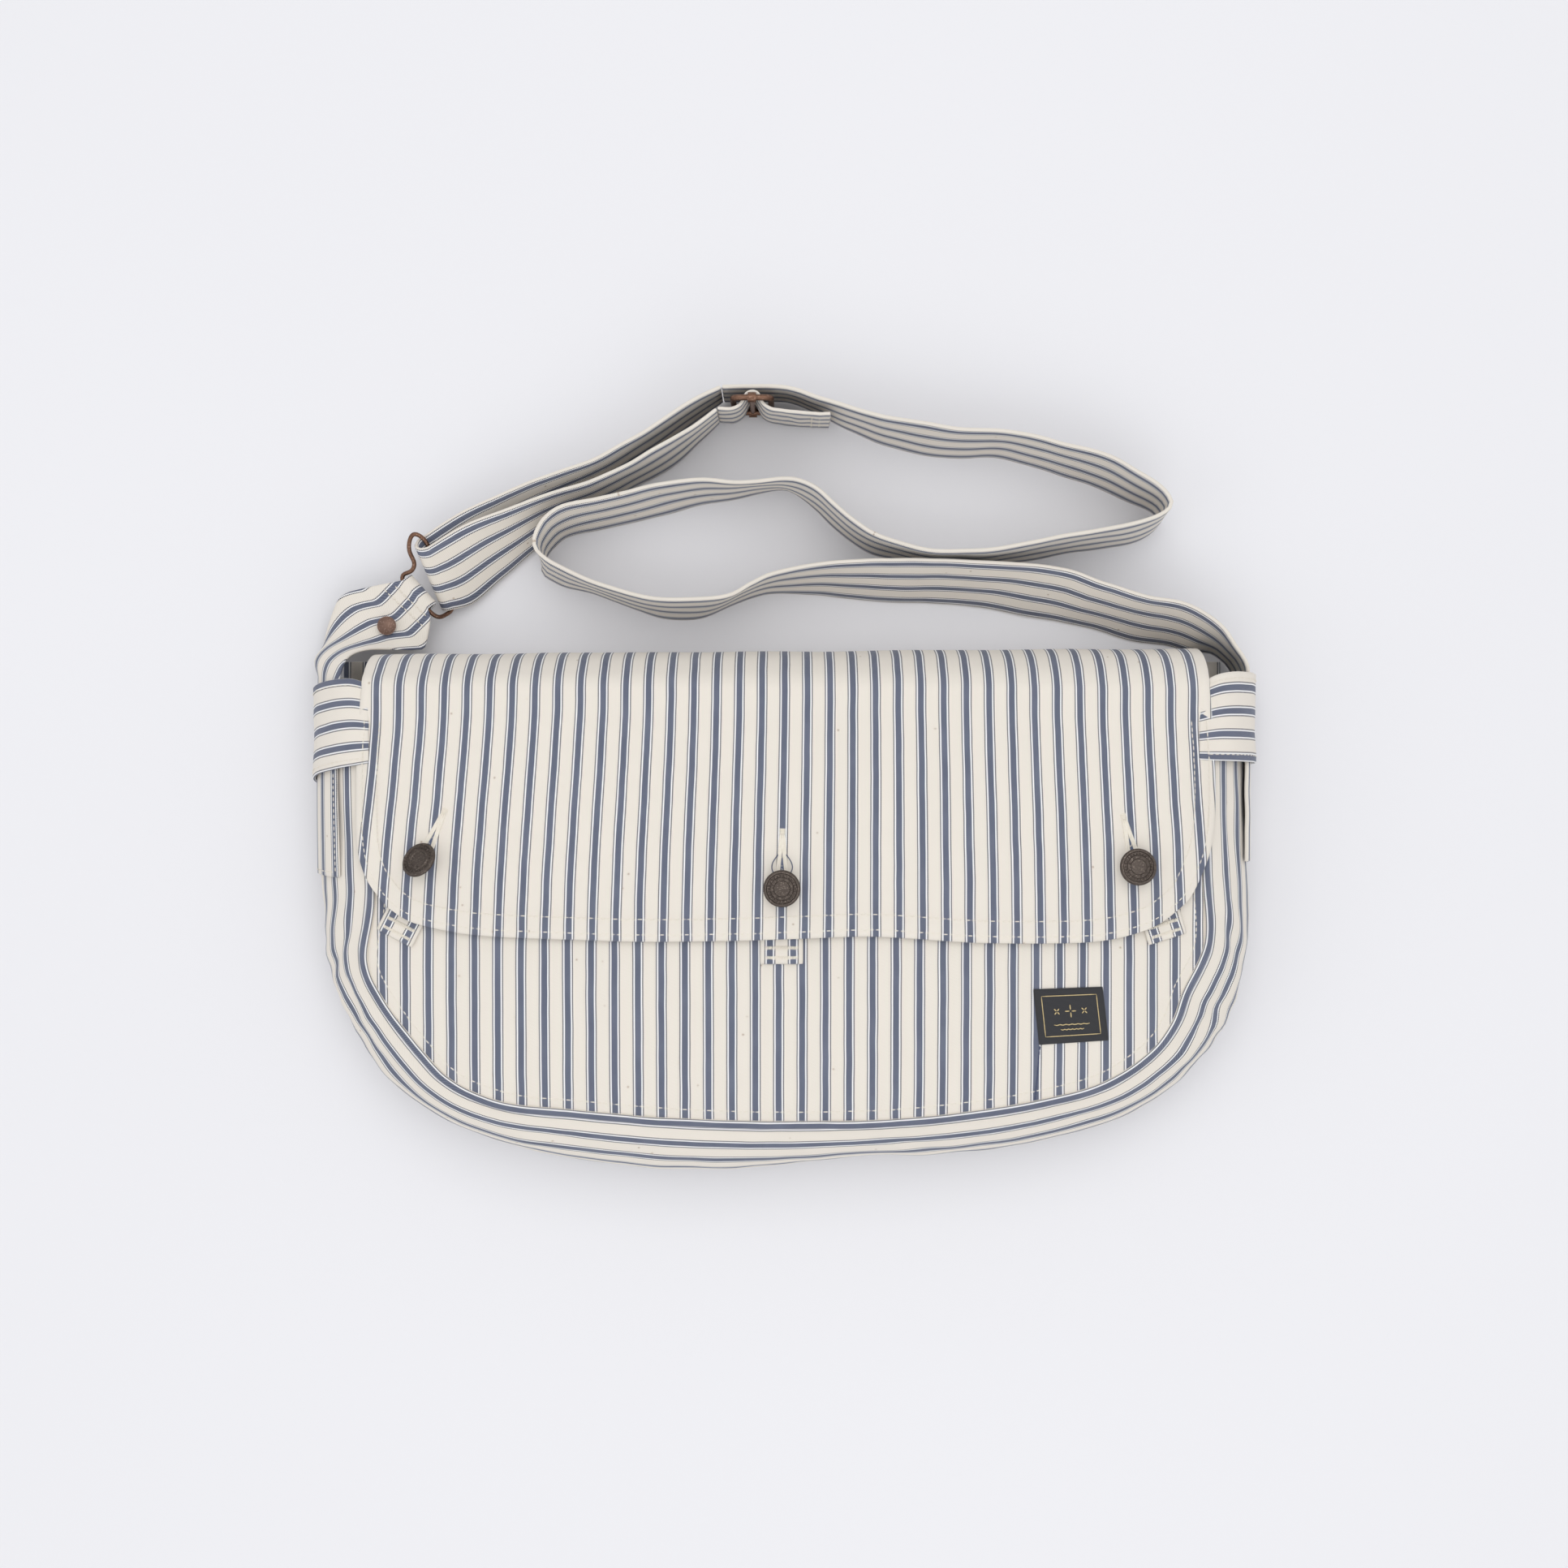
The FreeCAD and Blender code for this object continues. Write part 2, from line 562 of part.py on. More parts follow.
def strap_wrap():
    """Strap turning round the wire loop's wide bar, joining its two layers."""
    up_a, low_a = V(*OUTER_UP[0]), V(*OUTER_LOW[0])
    up_b, low_b = V(*INNER_UP[0]), V(*INNER_LOW[0])
    rows = []
    for k in range(13):
        t = math.pi * k / 12
        bulge = V(-0.7, -0.4, 0.2) + V(-5.4, -2.1, 0.5) * math.sin(t)
        low = low_a * ((1 + math.cos(t)) / 2) + low_b * ((1 - math.cos(t)) / 2) + bulge
        up = up_a * ((1 + math.cos(t)) / 2) + up_b * ((1 - math.cos(t)) / 2) + bulge
        rows.append([low, up])
    return folded(rows, STRAP_T)


def slider_frame():
    x, y = SLIDER_AT
    a, b = x - SLIDER_W / 2, x + SLIDER_W / 2
    low, top = SLIDER_LOW, SLIDER_TOP
    middle = (low + top) / 2
    corners = [(a, y, middle), (a, y, top), (b, y, top), (b, y, low), (a, y, low), (a, y, middle)]
    return bent_bar(corners, SLIDER_R, 3.2)


def slider_bar():
    """Centre bar with an eye round each rail."""
    x, y = SLIDER_AT
    bar = Part.makeCylinder(1.25, SLIDER_TOP - SLIDER_LOW - 2 * SLIDER_R - 0.2,
                            V(x, y, SLIDER_LOW + SLIDER_R + 0.1))
    for z in (SLIDER_LOW, SLIDER_TOP):
        eye = Part.makeCylinder(SLIDER_R + 1.1, 4.0, V(x - 2, y, z), V(1, 0, 0))
        bore = Part.makeCylinder(SLIDER_R + 0.05, 5.0, V(x - 2.5, y, z), V(1, 0, 0))
        bar = bar.fuse(eye.cut(bore))
    floor = Part.makeBox(10, 10, 10, V(x - 5, y - 5, -10))
    return bar.cut(floor).removeSplitter()


def build():
    """Every node's solid by name."""
    nodes = {}
    gusset = gusset_grid()
    nodes["back_panel"] = back_panel()
    nodes["gusset"] = sheet(gusset, CLOTH)
    nodes["front_panel"] = front_panel()
    nodes["mouth_hem"] = mouth_hem()
    nodes["flap_bridge"] = bridge()
    nodes["flap_ridge_roll"] = cylinder(RIDGE_R, V(-212, HINGE_Y, HINGE_Z), V(214, HINGE_Y, HINGE_Z))
    nodes["front_seam_welt"] = welt(FRONT_SEAM, 0, front_height)
    nodes["side_band_left"] = side_band("left")
    nodes["side_band_right"] = side_band("right")
    nodes["back_seam_welt"] = welt(GIRTH, 4.4, lambda x, y: 1.6, 1.4)
    side = sub_grid(gusset, 0.0, 0.118, 0.08, 0.76, 9, 7)
    nodes["loop_tab_side"] = sheet(side, CLOTH, 2.1)
    nodes["loop_tab"] = loop_tab(side)
    cap, post, burr = rivet()
    fold = loop_tab_fold()
    nodes["rivet_cap"], nodes["rivet_post"], nodes["rivet_burr"] = cap, post, burr
    rivet_hole = Part.makeCylinder(1.7, 40, V(RIVET_AT[0], RIVET_AT[1], -5))
    nodes["loop_tab"] = nodes["loop_tab"].cut(rivet_hole)
    nodes["loop_tab_fold"] = fold.cut(rivet_hole)
    nodes["label"] = sheet(draped(quad(LABEL, 5, 5), front_height, CLOTH / 2 + 0.55), 0.7)
    divider = quad([(122.7, -90), (123.7, -90), (125.6, -64.2), (124.6, -64.2)], 7, 4)
    nodes["pocket_divider_stitch"] = sheet(draped(divider, front_height, CLOTH / 2 + 0.4), 0.5)
    for name in BUTTONS:
        nodes["button_tab_" + name] = button_tab(name).cut(tack_hole(name))
        nodes["bar_tacks_" + name] = bar_tacks(name)
        nodes["button_cap_" + name] = button_cap(name)
        nodes["button_shank_" + name] = button_shank(name)
        nodes["button_tack_" + name] = button_tack(name)
        nodes["front_panel"] = nodes["front_panel"].cut(tack_hole(name))
    nodes["flap"], nodes["flap_hem"] = flap_parts()
    nodes["strap_lower_run"] = strap_run(RUN_LOW, 61)
    nodes["strap_left_turn"] = strap_run(RUN_TURN, 21)
    nodes["strap_middle_run"] = strap_run(RUN_MID, 49)
    nodes["strap_right_turn"] = strap_run(RUN_BACK, 17)
    nodes["strap_upper_run"] = strap_run(RUN_HIGH, 41)
    nodes["strap_outer_layer"] = ribbon(OUTER_LOW, OUTER_UP, 25, STRAP_T)
    nodes["strap_inner_layer"] = ribbon(INNER_LOW, INNER_UP, 25, STRAP_T)
    nodes["strap_loop_wrap"] = strap_wrap()
    free = [(x, y, 3.4) for x, y in FREE_END], [(x, y, 43.0) for x, y in FREE_END]
    nodes["strap_free_end"] = ribbon(free[0], free[1], 49, CLOTH)
    nodes["wire_loop"] = wire_ring(LOOP_PATH, WIRE_R)
    nodes["slider_frame"] = slider_frame()
    nodes["slider_bar"] = slider_bar()
    return nodes


def main():
    os.makedirs("parts", exist_ok=True)
    for name, shape in build().items():
        if shape.isNull() or not shape.isValid() or not shape.Solids:
            raise ValueError("bad solid: " + name)
        shape.exportStep("parts/" + name + ".step")
        box = shape.BoundBox
        limits = (box.XMin, box.XMax, box.YMin, box.YMax, box.ZMin, box.ZMax)
        print(name, len(shape.Solids), round(shape.Volume), [round(v, 1) for v in limits])


main()
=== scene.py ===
"""Striped ticking mail sack: cloth, straps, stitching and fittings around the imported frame."""
import math
import random
import bpy
from bpy.props import FloatProperty, FloatVectorProperty, PointerProperty
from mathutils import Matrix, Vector, noise


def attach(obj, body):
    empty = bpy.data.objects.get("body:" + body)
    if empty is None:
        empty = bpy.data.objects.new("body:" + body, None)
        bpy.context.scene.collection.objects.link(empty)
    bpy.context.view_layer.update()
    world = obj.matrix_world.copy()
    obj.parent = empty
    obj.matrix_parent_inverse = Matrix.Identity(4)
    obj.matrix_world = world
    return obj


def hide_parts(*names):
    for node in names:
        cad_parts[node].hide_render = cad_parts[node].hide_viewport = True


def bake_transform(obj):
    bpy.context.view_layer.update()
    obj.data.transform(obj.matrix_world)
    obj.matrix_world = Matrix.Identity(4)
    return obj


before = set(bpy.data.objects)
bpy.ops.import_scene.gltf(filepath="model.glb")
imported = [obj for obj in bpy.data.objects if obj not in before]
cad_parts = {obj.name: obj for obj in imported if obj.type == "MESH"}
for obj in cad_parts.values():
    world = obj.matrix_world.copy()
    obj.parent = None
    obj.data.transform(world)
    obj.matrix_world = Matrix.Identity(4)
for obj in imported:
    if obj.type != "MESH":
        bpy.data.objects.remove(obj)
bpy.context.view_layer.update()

bl_info = {
    "name": "Ticking Mail Sack",
    "version": (1, 0, 0),
    "blender": (4, 5, 0),
    "location": "View3D > Sidebar > Mail Sack",
    "description": "Builds a striped ticking mail sack with its flap, strap and fittings",
    "category": "Add Mesh",
}

MM = 0.001
HINGE = Vector((0.0, 112.0, 62.3))
MOUTH_Y = 88.0
STRAP_W = 40.0

# lines of the bag in millimetres, from the mouth's left end round the bottom
GIRTH = [(-233, 119), (-233.5, 67), (-233, 16), (-231, -4), (-227, -31), (-216, -58), (-205, -77),
         (-190, -92), (-170, -105), (-145, -115), (-118, -122), (-90, -126), (-60, -129), (-28, -129.5),
         (0, -127.5), (25, -125), (48, -122.5), (77, -121.5), (106, -119), (136, -114), (166, -105),
         (190, -92), (208, -76), (220, -60), (229, -39), (233, -20), (234.5, 0), (233.5, 21),
         (232, 60), (231, 119)]
FRONT_SEAM = [(-206, 106), (-205, 60), (-203, 9), (-207, -22), (-198, -43), (-178, -69), (-162, -84),
              (-135, -94), (-101, -97.5), (-60, -101), (-28, -102.5), (0, -103), (50, -102), (96, -97.5),
              (130, -91.5), (158, -83.5), (180, -69), (192, -54), (198, -38), (209, -14), (208, 20),
              (207, 60), (207, 106)]
FLAP_LEFT = [(-207, 112), (-208.5, 100), (-209.8, 85), (-210.4, 62), (-210, 42), (-208.8, 30),
             (-206, 20.6), (-201.6, 12.9), (-194, 4.1)]
FLAP_HEM = [(-194, 4.1), (-183, -2.6), (-165, -7), (-146, -9.5), (-106, -11), (-66, -12), (-26, -11.5),
            (6, -10.5), (45, -9.5), (93, -12.5), (133, -13), (155, -12), (170, -9), (182, -4.8), (190, 0.5)]
FLAP_RIGHT = [(190, 0.5), (199, 9), (206, 23), (210, 36), (212, 55), (211.6, 80), (210, 100), (208.6, 112)]
FLAP_BACK = [(HINGE.y, HINGE.z), (116.6, 59.6), (121, 54.8), (126.4, 46), (129.8, 35), (131.2, 24),
             (131, 14), (129.6, 7), (127.5, 3.0)]

# shoulder strap: top edge (x, y) and how far its bottom edge stands towards -Y
STRAP_PATH = [(235.6, 26, 0), (235.7, 50, 0), (235.6, 80, 0), (235.5, 102, 0), (235, 112, 0),
              (233.4, 119.5, 0), (230.4, 126.5, 1), (226, 133.5, 4), (220, 143, 10), (210, 151, 17),
              (199, 156, 19), (182, 159, 20), (162, 165, 20), (144, 172, 23), (122, 175, 22), (100, 176, 19),
              (75, 177, 18), (46, 177, 17), (19, 175, 12), (-5, 170, 6), (-16, 165, 3), (-27, 159, 1),
              (-43, 157, 6), (-61, 157, 6), (-78, 160, 4), (-96, 166, 3), (-112, 173, 6),
              (-119, 177, 7), (-124, 182, 9), (-125, 187, 10), (-123.5, 192, 10), (-120, 198, 11),
              (-112, 203.5, 10), (-96, 207, 10), (-78, 211, 10), (-61, 215, 10), (-43, 217, 7),
              (-27, 215.5, 3), (-12, 216, 0), (0, 217.5, 0), (8, 216.5, 2), (17, 212, 5), (26, 204, 6),
              (35, 196.5, 6), (46, 189.5, 5), (60, 184.5, 3), (75, 181.5, 3), (90, 181, 3),
              (104, 182, 4), (126, 186, 5), (148, 190, 5), (173, 194.5, 6), (184, 197.5, 6),
              (191, 201, 5), (194, 205, 4), (191.5, 210.5, 5), (186, 215.5, 7), (177, 221, 9),
              (162, 229, 10), (142, 234.5, 9), (124, 239, 8), (108, 241.5, 7), (90, 242, 8),
              (71, 245, 9), (50, 248.5, 7), (32, 253.5, 4), (17, 258, 1), (5, 262.2, 0),
              (-6, 263.4, 0), (-30.6, 263.2, 0)]
OUTER_UP = [(-181.2, 184.8, 21.2), (-161, 195.5, 28), (-132, 206, 32), (-114, 212, 34), (-96, 217, 36),
            (-78, 225, 38), (-64, 233, 40), (-47, 242, 42), (-34, 251.4, 43)]
OUTER_LOW = [(-170.9, 154.8, 8.6), (-160.5, 158.5, 4.8), (-145, 172, 3.2), (-128, 187, 3),
             (-112, 199, 3), (-95, 208, 3), (-79, 218, 3), (-57, 230, 3), (-34, 251.4, 3.4)]
INNER_UP = [(-183.2, 191.3, 16.9), (-163, 203, 23.5), (-134, 215, 28), (-114, 222, 31), (-96, 228, 34),
            (-78, 237, 37), (-62, 246, 39), (-47, 256, 41), (-32, 262.8, 42)]
INNER_LOW = [(-170, 161.2, 2.7), (-160, 166.5, 1.6), (-145, 182, 1.4), (-130, 195, 1.4),
             (-114, 207, 1.4), (-97, 217, 1.4), (-80, 228, 1.4), (-60, 242, 1.4), (-32, 262.8, 2.6)]
FREE_END = [(-33, 252.2), (-26.5, 251.8), (-22.4, 253.6), (-19.9, 257), (-18.6, 259.6), (-16, 260.8),
            (-13.4, 259.6), (-12.1, 257), (-9.6, 253.6), (-5.5, 251.8), (4, 250.4), (14, 249.6), (23, 249.4)]
TAB_LEFT = [(-238.4, 127, 5.5), (-236.5, 135, 8.5), (-233.4, 146, 12), (-228.5, 157.5, 15),
            (-224, 161.6, 16), (-215, 164.2, 17), (-194.4, 168.2, 18)]
TAB_RIGHT = [(-219, 127.5, 39), (-209.5, 132.6, 30.5), (-197, 133, 23.5), (-187, 133.2, 20.6),
             (-183.4, 134.6, 19.6), (-181.6, 142, 18.8), (-180.8, 149.5, 18.2), (-182, 154.3, 18)]
# cross-wise bands over the bag's sides: x, z, upper and lower edge's y
SIDE_BANDS = {
    "left": [(-236.6, 5.5, 111.4, 64.1), (-237.2, 11, 111.6, 64.5), (-237.4, 17, 111.9, 64.9),
             (-237.4, 28, 112.5, 66.4), (-235.4, 37, 113.2, 68), (-231, 45.2, 114.4, 70.2),
             (-221.5, 54, 115.8, 72.4), (-212.5, 58.2, 116, 73.8), (-204.5, 59.7, 113.5, 75)],
    "right": [(239.2, 5.5, 119, 75), (238.9, 11, 119, 75), (238.4, 17, 119, 75.1),
              (238, 28, 119.2, 75.3), (235.8, 37, 119.5, 75.5), (232.3, 43.8, 119.8, 75.8),
              (223.5, 53, 119.8, 76.1), (213.5, 57.8, 118, 76.4), (204.5, 59.8, 113.5, 76.8)],
}
BUTTONS = {  # foot (x, y), lean, heading of the lean, buttonhole apex (x, y)
    "left": (-177.0, 27.0, 38.0, 130.0, -166.7, 50.0),
    "centre": (-1.0, 14.0, 4.0, 250.0, -0.8, 40.0),
    "right": (172.0, 24.0, 9.0, 60.0, 166.3, 47.2),
}
TABS = {  # lower end's middle, width, length, turn
    "left": (-188.5, -11.5, 19.0, 52.0, -27.0),
    "centre": (-1.2, -22.8, 20.0, 50.0, 0.0),
    "right": (186.5, -11.5, 19.0, 50.0, 17.0),
}
# creases pressed into the gusset: x, y, heading of their depth in radians, depth
CREASES = [(216, -2, 0.5, 1.9), (221, -30, -0.3, 1.7), (205, -56, -0.9, 1.6), (-217, -12, 2.7, 1.8),
           (-214, -44, 3.5, 1.9), (-196, -74, 3.9, 1.5), (150, -100, -1.3, 1.1), (-120, -108, 4.5, 1.2),
           (60, -112, -1.8, 0.9), (-220, 40, 3.2, 1.3), (222, 44, 0.1, 1.2)]
LABEL = [(122, -36), (156, -35), (159, -61), (125, -63)]


# --- plain geometry --------------------------------------------------------
def lerp(a, b, t):
    return a + (b - a) * t


def smooth(t):
    t = min(max(t, 0.0), 1.0)
    return t * t * (3 - 2 * t)


def through(points, count):
    """Evenly spaced points on a smooth line through the given ones."""
    pts = [Vector(p) if len(p) == 3 else Vector((p[0], p[1], 0.0)) for p in points]
    dense = []
    for i in range(len(pts) - 1):
        a, b = pts[max(i - 1, 0)], pts[i]
        c, d = pts[i + 1], pts[min(i + 2, len(pts) - 1)]
        for k in range(12):
            t = k / 12
            dense.append(((b * 2) + (c - a) * t + (a * 2 - b * 5 + c * 4 - d) * t ** 2
                          + (b * 3 - a - c * 3 + d) * t ** 3) * 0.5)
    dense.append(pts[-1])
    return respaced(dense, count)


def respaced(line, count):
    lengths = [0.0]
    for p, q in zip(line, line[1:]):
        lengths.append(lengths[-1] + (q - p).length)
    result, k = [], 0
    for i in range(count):
        want = lengths[-1] * i / (count - 1)
        while k < len(line) - 2 and lengths[k + 1] < want:
            k += 1
        span = lengths[k + 1] - lengths[k]
        result.append(line[k].lerp(line[k + 1], (want - lengths[k]) / span if span else 0.0))
    return result


def inset_line(line, distance):
    """Flat line moved towards the side on its left hand."""
    result = []
    for i, p in enumerate(line):
        way = line[min(i + 1, len(line) - 1)] - line[max(i - 1, 0)]
        side = Vector((-way.y, way.x, 0.0)).normalized()
        result.append(Vector((p.x + side.x * distance, p.y + side.y * distance, p.z)))
    return result


def coons(left, bottom, right, rows, cols):
    """Flat grid in a U-shaped outline, first row at the straight top."""
    west, east = through(left, rows), list(reversed(through(right, rows)))
    south = through(bottom, cols)
    grid = []
    for i in range(rows):
        v = i / (rows - 1)
        row = []
        for j in range(cols):
            u = j / (cols - 1)
            north = west[0].lerp(east[0], u)
            ruled = west[i].lerp(east[i], u) + north.lerp(south[j], v)
            row.append(ruled - west[0].lerp(east[0], u).lerp(west[-1].lerp(east[-1], u), v))
        grid.append(row)
    return grid


def refined(grid, rows, cols):
    wide = [through(row, cols) for row in grid]
    return [list(row) for row in zip(*[through(column, rows) for column in zip(*wide)])]


def grid_normals(grid):
    rows, cols = len(grid), len(grid[0])
    result = []
    for i in range(rows):
        row = []
        for j in range(cols):
            along = grid[min(i + 1, rows - 1)][j] - grid[max(i - 1, 0)][j]
            across = grid[i][min(j + 1, cols - 1)] - grid[i][max(j - 1, 0)]
            row.append(along.cross(across).normalized())
        result.append(row)
    return result


def rough(x, y, wave, seed=0.0):
    """Smooth noise from -1 to 1 at the given wavelength in millimetres."""
    return noise.noise(Vector((x / wave, y / wave, seed)))


def front_height(x, y):
    """Crowned top of the filled-out bag."""
    across = 1 - min(abs(x / 216) ** 3, 1)
    along = 1 - min(abs((y + 5) / 118) ** 3, 1)
    return 56 + 11 * across * along


def front_skin(x, y):
    """Middle of the front panel with its soft dents and the puckers along the seam."""
    edge = min(1.0, max(0.0, (y + 103) / 26))
    soft = 1.3 * rough(x, y, 95, 3.1) + 0.55 * rough(x, y * 1.6, 34, 7.7)
    pucker = 0.5 * math.sin(x / 7.3 + 3 * rough(x, y, 60, 2)) * (1 - edge) * (0.4 + 0.6 * rough(x, 0, 50))
    return front_height(x, y) - 0.5 + soft * edge + pucker


def near_tab(x, y):
    """1 over a button tab, falling to 0 away from it."""
    reach = 0.0
    for tx, ty, *_ in TABS.values():
        gap = math.hypot((x - tx) / 26, max(abs(y - ty - 22) - 30, 0) / 14)
        reach = max(reach, 1 - smooth(gap - 0.3))
    return reach


def flap_skin(x, y):
    """Middle of the flap where it lies on the front."""
    rise = smooth((HINGE.y - y) / 24)
    lift = 3.2 + 1.3 * near_tab(x, y)
    lying = front_skin(x, y) + lift + 0.5 * rough(x, y, 52, 11.3)
    return lerp(HINGE.z, max(lying, front_height(x, y) + 1.6), rise)


# --- meshes ------------------------------------------------------------------
def add_piece(name, verts, faces, uvs, material, body, sharp=50):
    """New piece in metres from millimetre points; uvs per vertex in millimetres of cloth."""
    mesh = bpy.data.meshes.new(name)
    mesh.from_pydata([v * MM for v in verts], [], faces)
    if uvs:
        layer = mesh.uv_layers.new(name="Cloth")
        for loop in mesh.loops:
            layer.data[loop.index].uv = Vector(uvs[loop.vertex_index]) * MM
    mesh.polygons.foreach_set("use_smooth", [True] * len(mesh.polygons))
    mesh.set_sharp_from_angle(angle=math.radians(sharp))
    mesh.materials.append(material)
    mesh.validate()
    mesh.update()
    piece = bpy.data.objects.new(name, mesh)
    bpy.context.scene.collection.objects.link(piece)
    if body:
        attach(piece, body)
    return piece


def cloth(name, grid, uv, thickness, body, offset=0.0, material=None):
    """Closed sheet of even thickness about a grid, with a rounded rim."""
    rows, cols = len(grid), len(grid[0])
    normal = grid_normals(grid)
    verts, uvs, faces = [], [], []
    for side in (1, -1):
        for i in range(rows):
            for j in range(cols):
                verts.append(grid[i][j] + normal[i][j] * (offset + side * thickness / 2))
                uvs.append(uv[i][j])
    size = rows * cols
    for i in range(rows - 1):
        for j in range(cols - 1):
            a = i * cols + j
            faces.append((a, a + cols, a + cols + 1, a + 1))
            faces.append((size + a + 1, size + a + cols + 1, size + a + cols, size + a))
    rim = list(range(cols)) + [i * cols + cols - 1 for i in range(1, rows)]
    rim += [(rows - 1) * cols + j for j in range(cols - 2, -1, -1)]
    rim += [i * cols for i in range(rows - 2, 0, -1)]
    middle = len(verts)
    centre = [grid[r // cols][r % cols] + normal[r // cols][r % cols] * offset for r in rim]
    for k, r in enumerate(rim):
        i, j = r // cols, r % cols
        inner = grid[min(max(i, 1), rows - 2)][min(max(j, 1), cols - 2)]
        out = grid[i][j] - inner
        out = out.normalized() * (thickness * 0.32) if out.length > 1e-6 else Vector()
        verts.append(centre[k] + out)
        step = thickness / 2
        u, v = uv[i][j]
        near = uv[min(max(i, 1), rows - 2)][min(max(j, 1), cols - 2)]
        du, dv = u - near[0], v - near[1]
        scale = step / max(math.hypot(du, dv), 1e-6)
        uvs.append((u + du * scale, v + dv * scale))
    for k, r in enumerate(rim):
        n = (k + 1) % len(rim)
        faces.append((r, rim[n], middle + n, middle + k))
        faces.append((middle + k, middle + n, size + rim[n], size + r))
    return add_piece(name, verts, faces, uvs, material or finish("ticking"), body, 70)


def measured_uv(grid):
    """Cloth coordinates from lengths on the grid: (across its columns, along its rows)."""
    rows, cols = len(grid), len(grid[0])
    run = [0.0]
    for i in range(rows - 1):
        run.append(run[-1] + sum((grid[i + 1][j] - grid[i][j]).length for j in range(cols)) / cols)
    uv = []
    for i in range(rows):
        width, row = 0.0, []
        for j in range(cols):
            if j:
                width += (grid[i][j] - grid[i][j - 1]).length
            row.append((width, run[i]))
        uv.append(row)
    return uv


def declare(grid):
    """Work out a sewn sheet's width, length and area from its middle surface; the results are not kept."""
    run = measured_uv(grid)
    area = 0.0
    for upper, lower in zip(grid, grid[1:]):
        for j in range(len(upper) - 1):
            area += ((upper[j] - lower[j + 1]).cross(upper[j + 1] - lower[j])).length / 2


def tube(line, radius, sides, verts, faces, taper=0.35):
    """Round closed bar along a line, narrowed at both ends; appends to verts and faces."""
    base = len(verts)
    last = len(line) - 1
    for i, p in enumerate(line):
        way = (line[min(i + 1, last)] - line[max(i - 1, 0)]).normalized()
        side = way.cross(Vector((0, 0, 1)) if abs(way.z) < 0.9 else Vector((1, 0, 0))).normalized()
        up = side.cross(way)
        size = radius * (taper if i in (0, last) else 1.0)
        for k in range(sides):
            t = 2 * math.pi * k / sides
            verts.append(p + side * (math.cos(t) * size) + up * (math.sin(t) * size))
    for i in range(last):
        for k in range(sides):
            n = (k + 1) % sides
            a, b = base + i * sides, base + (i + 1) * sides
            faces.append((a + k, a + n, b + n, b + k))
    faces.append(tuple(base + k for k in reversed(range(sides))))
    faces.append(tuple(base + last * sides + k for k in range(sides)))


def stitches(name, lines, body, pitch=3.0, length=2.3, radius=0.27, material=None):
    """Rows of separate stitches lying on the cloth, each dipping into it at both ends."""
    verts, faces = [], []
    rng = random.Random(name)
    for line in lines:
        total = sum((q - p).length for p, q in zip(line, line[1:]))
        count = max(int(total / pitch), 1)
        points = respaced(line, count * 4 + 1)
        for k in range(count):
            a, b = points[k * 4], points[min(k * 4 + 4, len(points) - 1)]
            mid = points[k * 4 + 2]
            way = (b - a).normalized() * (length / 2)
            jog = Vector((rng.uniform(-0.08, 0.08), rng.uniform(-0.08, 0.08), 0))
            dip = Vector((0, 0, -radius * 0.7))
            bend = way * 0.55
            tube([mid - way + dip + jog, mid - bend + jog, mid + bend + jog, mid + way + dip + jog],
                 radius, 6, verts, faces)
    return add_piece(name, verts, faces, None, material or finish("thread"), body, 80)


# --- shader maths ---------------------------------------------------------------
class Value:
    """A shader socket that ordinary arithmetic works on."""

    def __init__(self, board, socket):
        self.board = board
        self.socket = socket

    def _maths(self, operation, *values):
        inputs = dict(enumerate(values))
        return self.board.node("ShaderNodeMath", {"operation": operation}, inputs)

    def __add__(self, other):
        return self._maths("ADD", self, other)

    def __radd__(self, other):
        return self._maths("ADD", other, self)

    def __sub__(self, other):
        return self._maths("SUBTRACT", self, other)

    def __rsub__(self, other):
        return self._maths("SUBTRACT", other, self)

    def __mul__(self, other):
        return self._maths("MULTIPLY", self, other)

    def __rmul__(self, other):
        return self._maths("MULTIPLY", other, self)

    def __truediv__(self, other):
        return self._maths("DIVIDE", self, other)

    def __abs__(self):
        return self._maths("ABSOLUTE", self)

    def fract(self):
        return self._maths("FRACT", self)

    def below(self, edge, blur):
        """1 under the edge, 0 over it, with a soft change between."""
        inputs = {0: self, 1: edge - blur, 2: edge + blur, 3: 1.0, 4: 0.0}
        return self.board.node("ShaderNodeMapRange", {"interpolation_type": "SMOOTHSTEP"}, inputs)


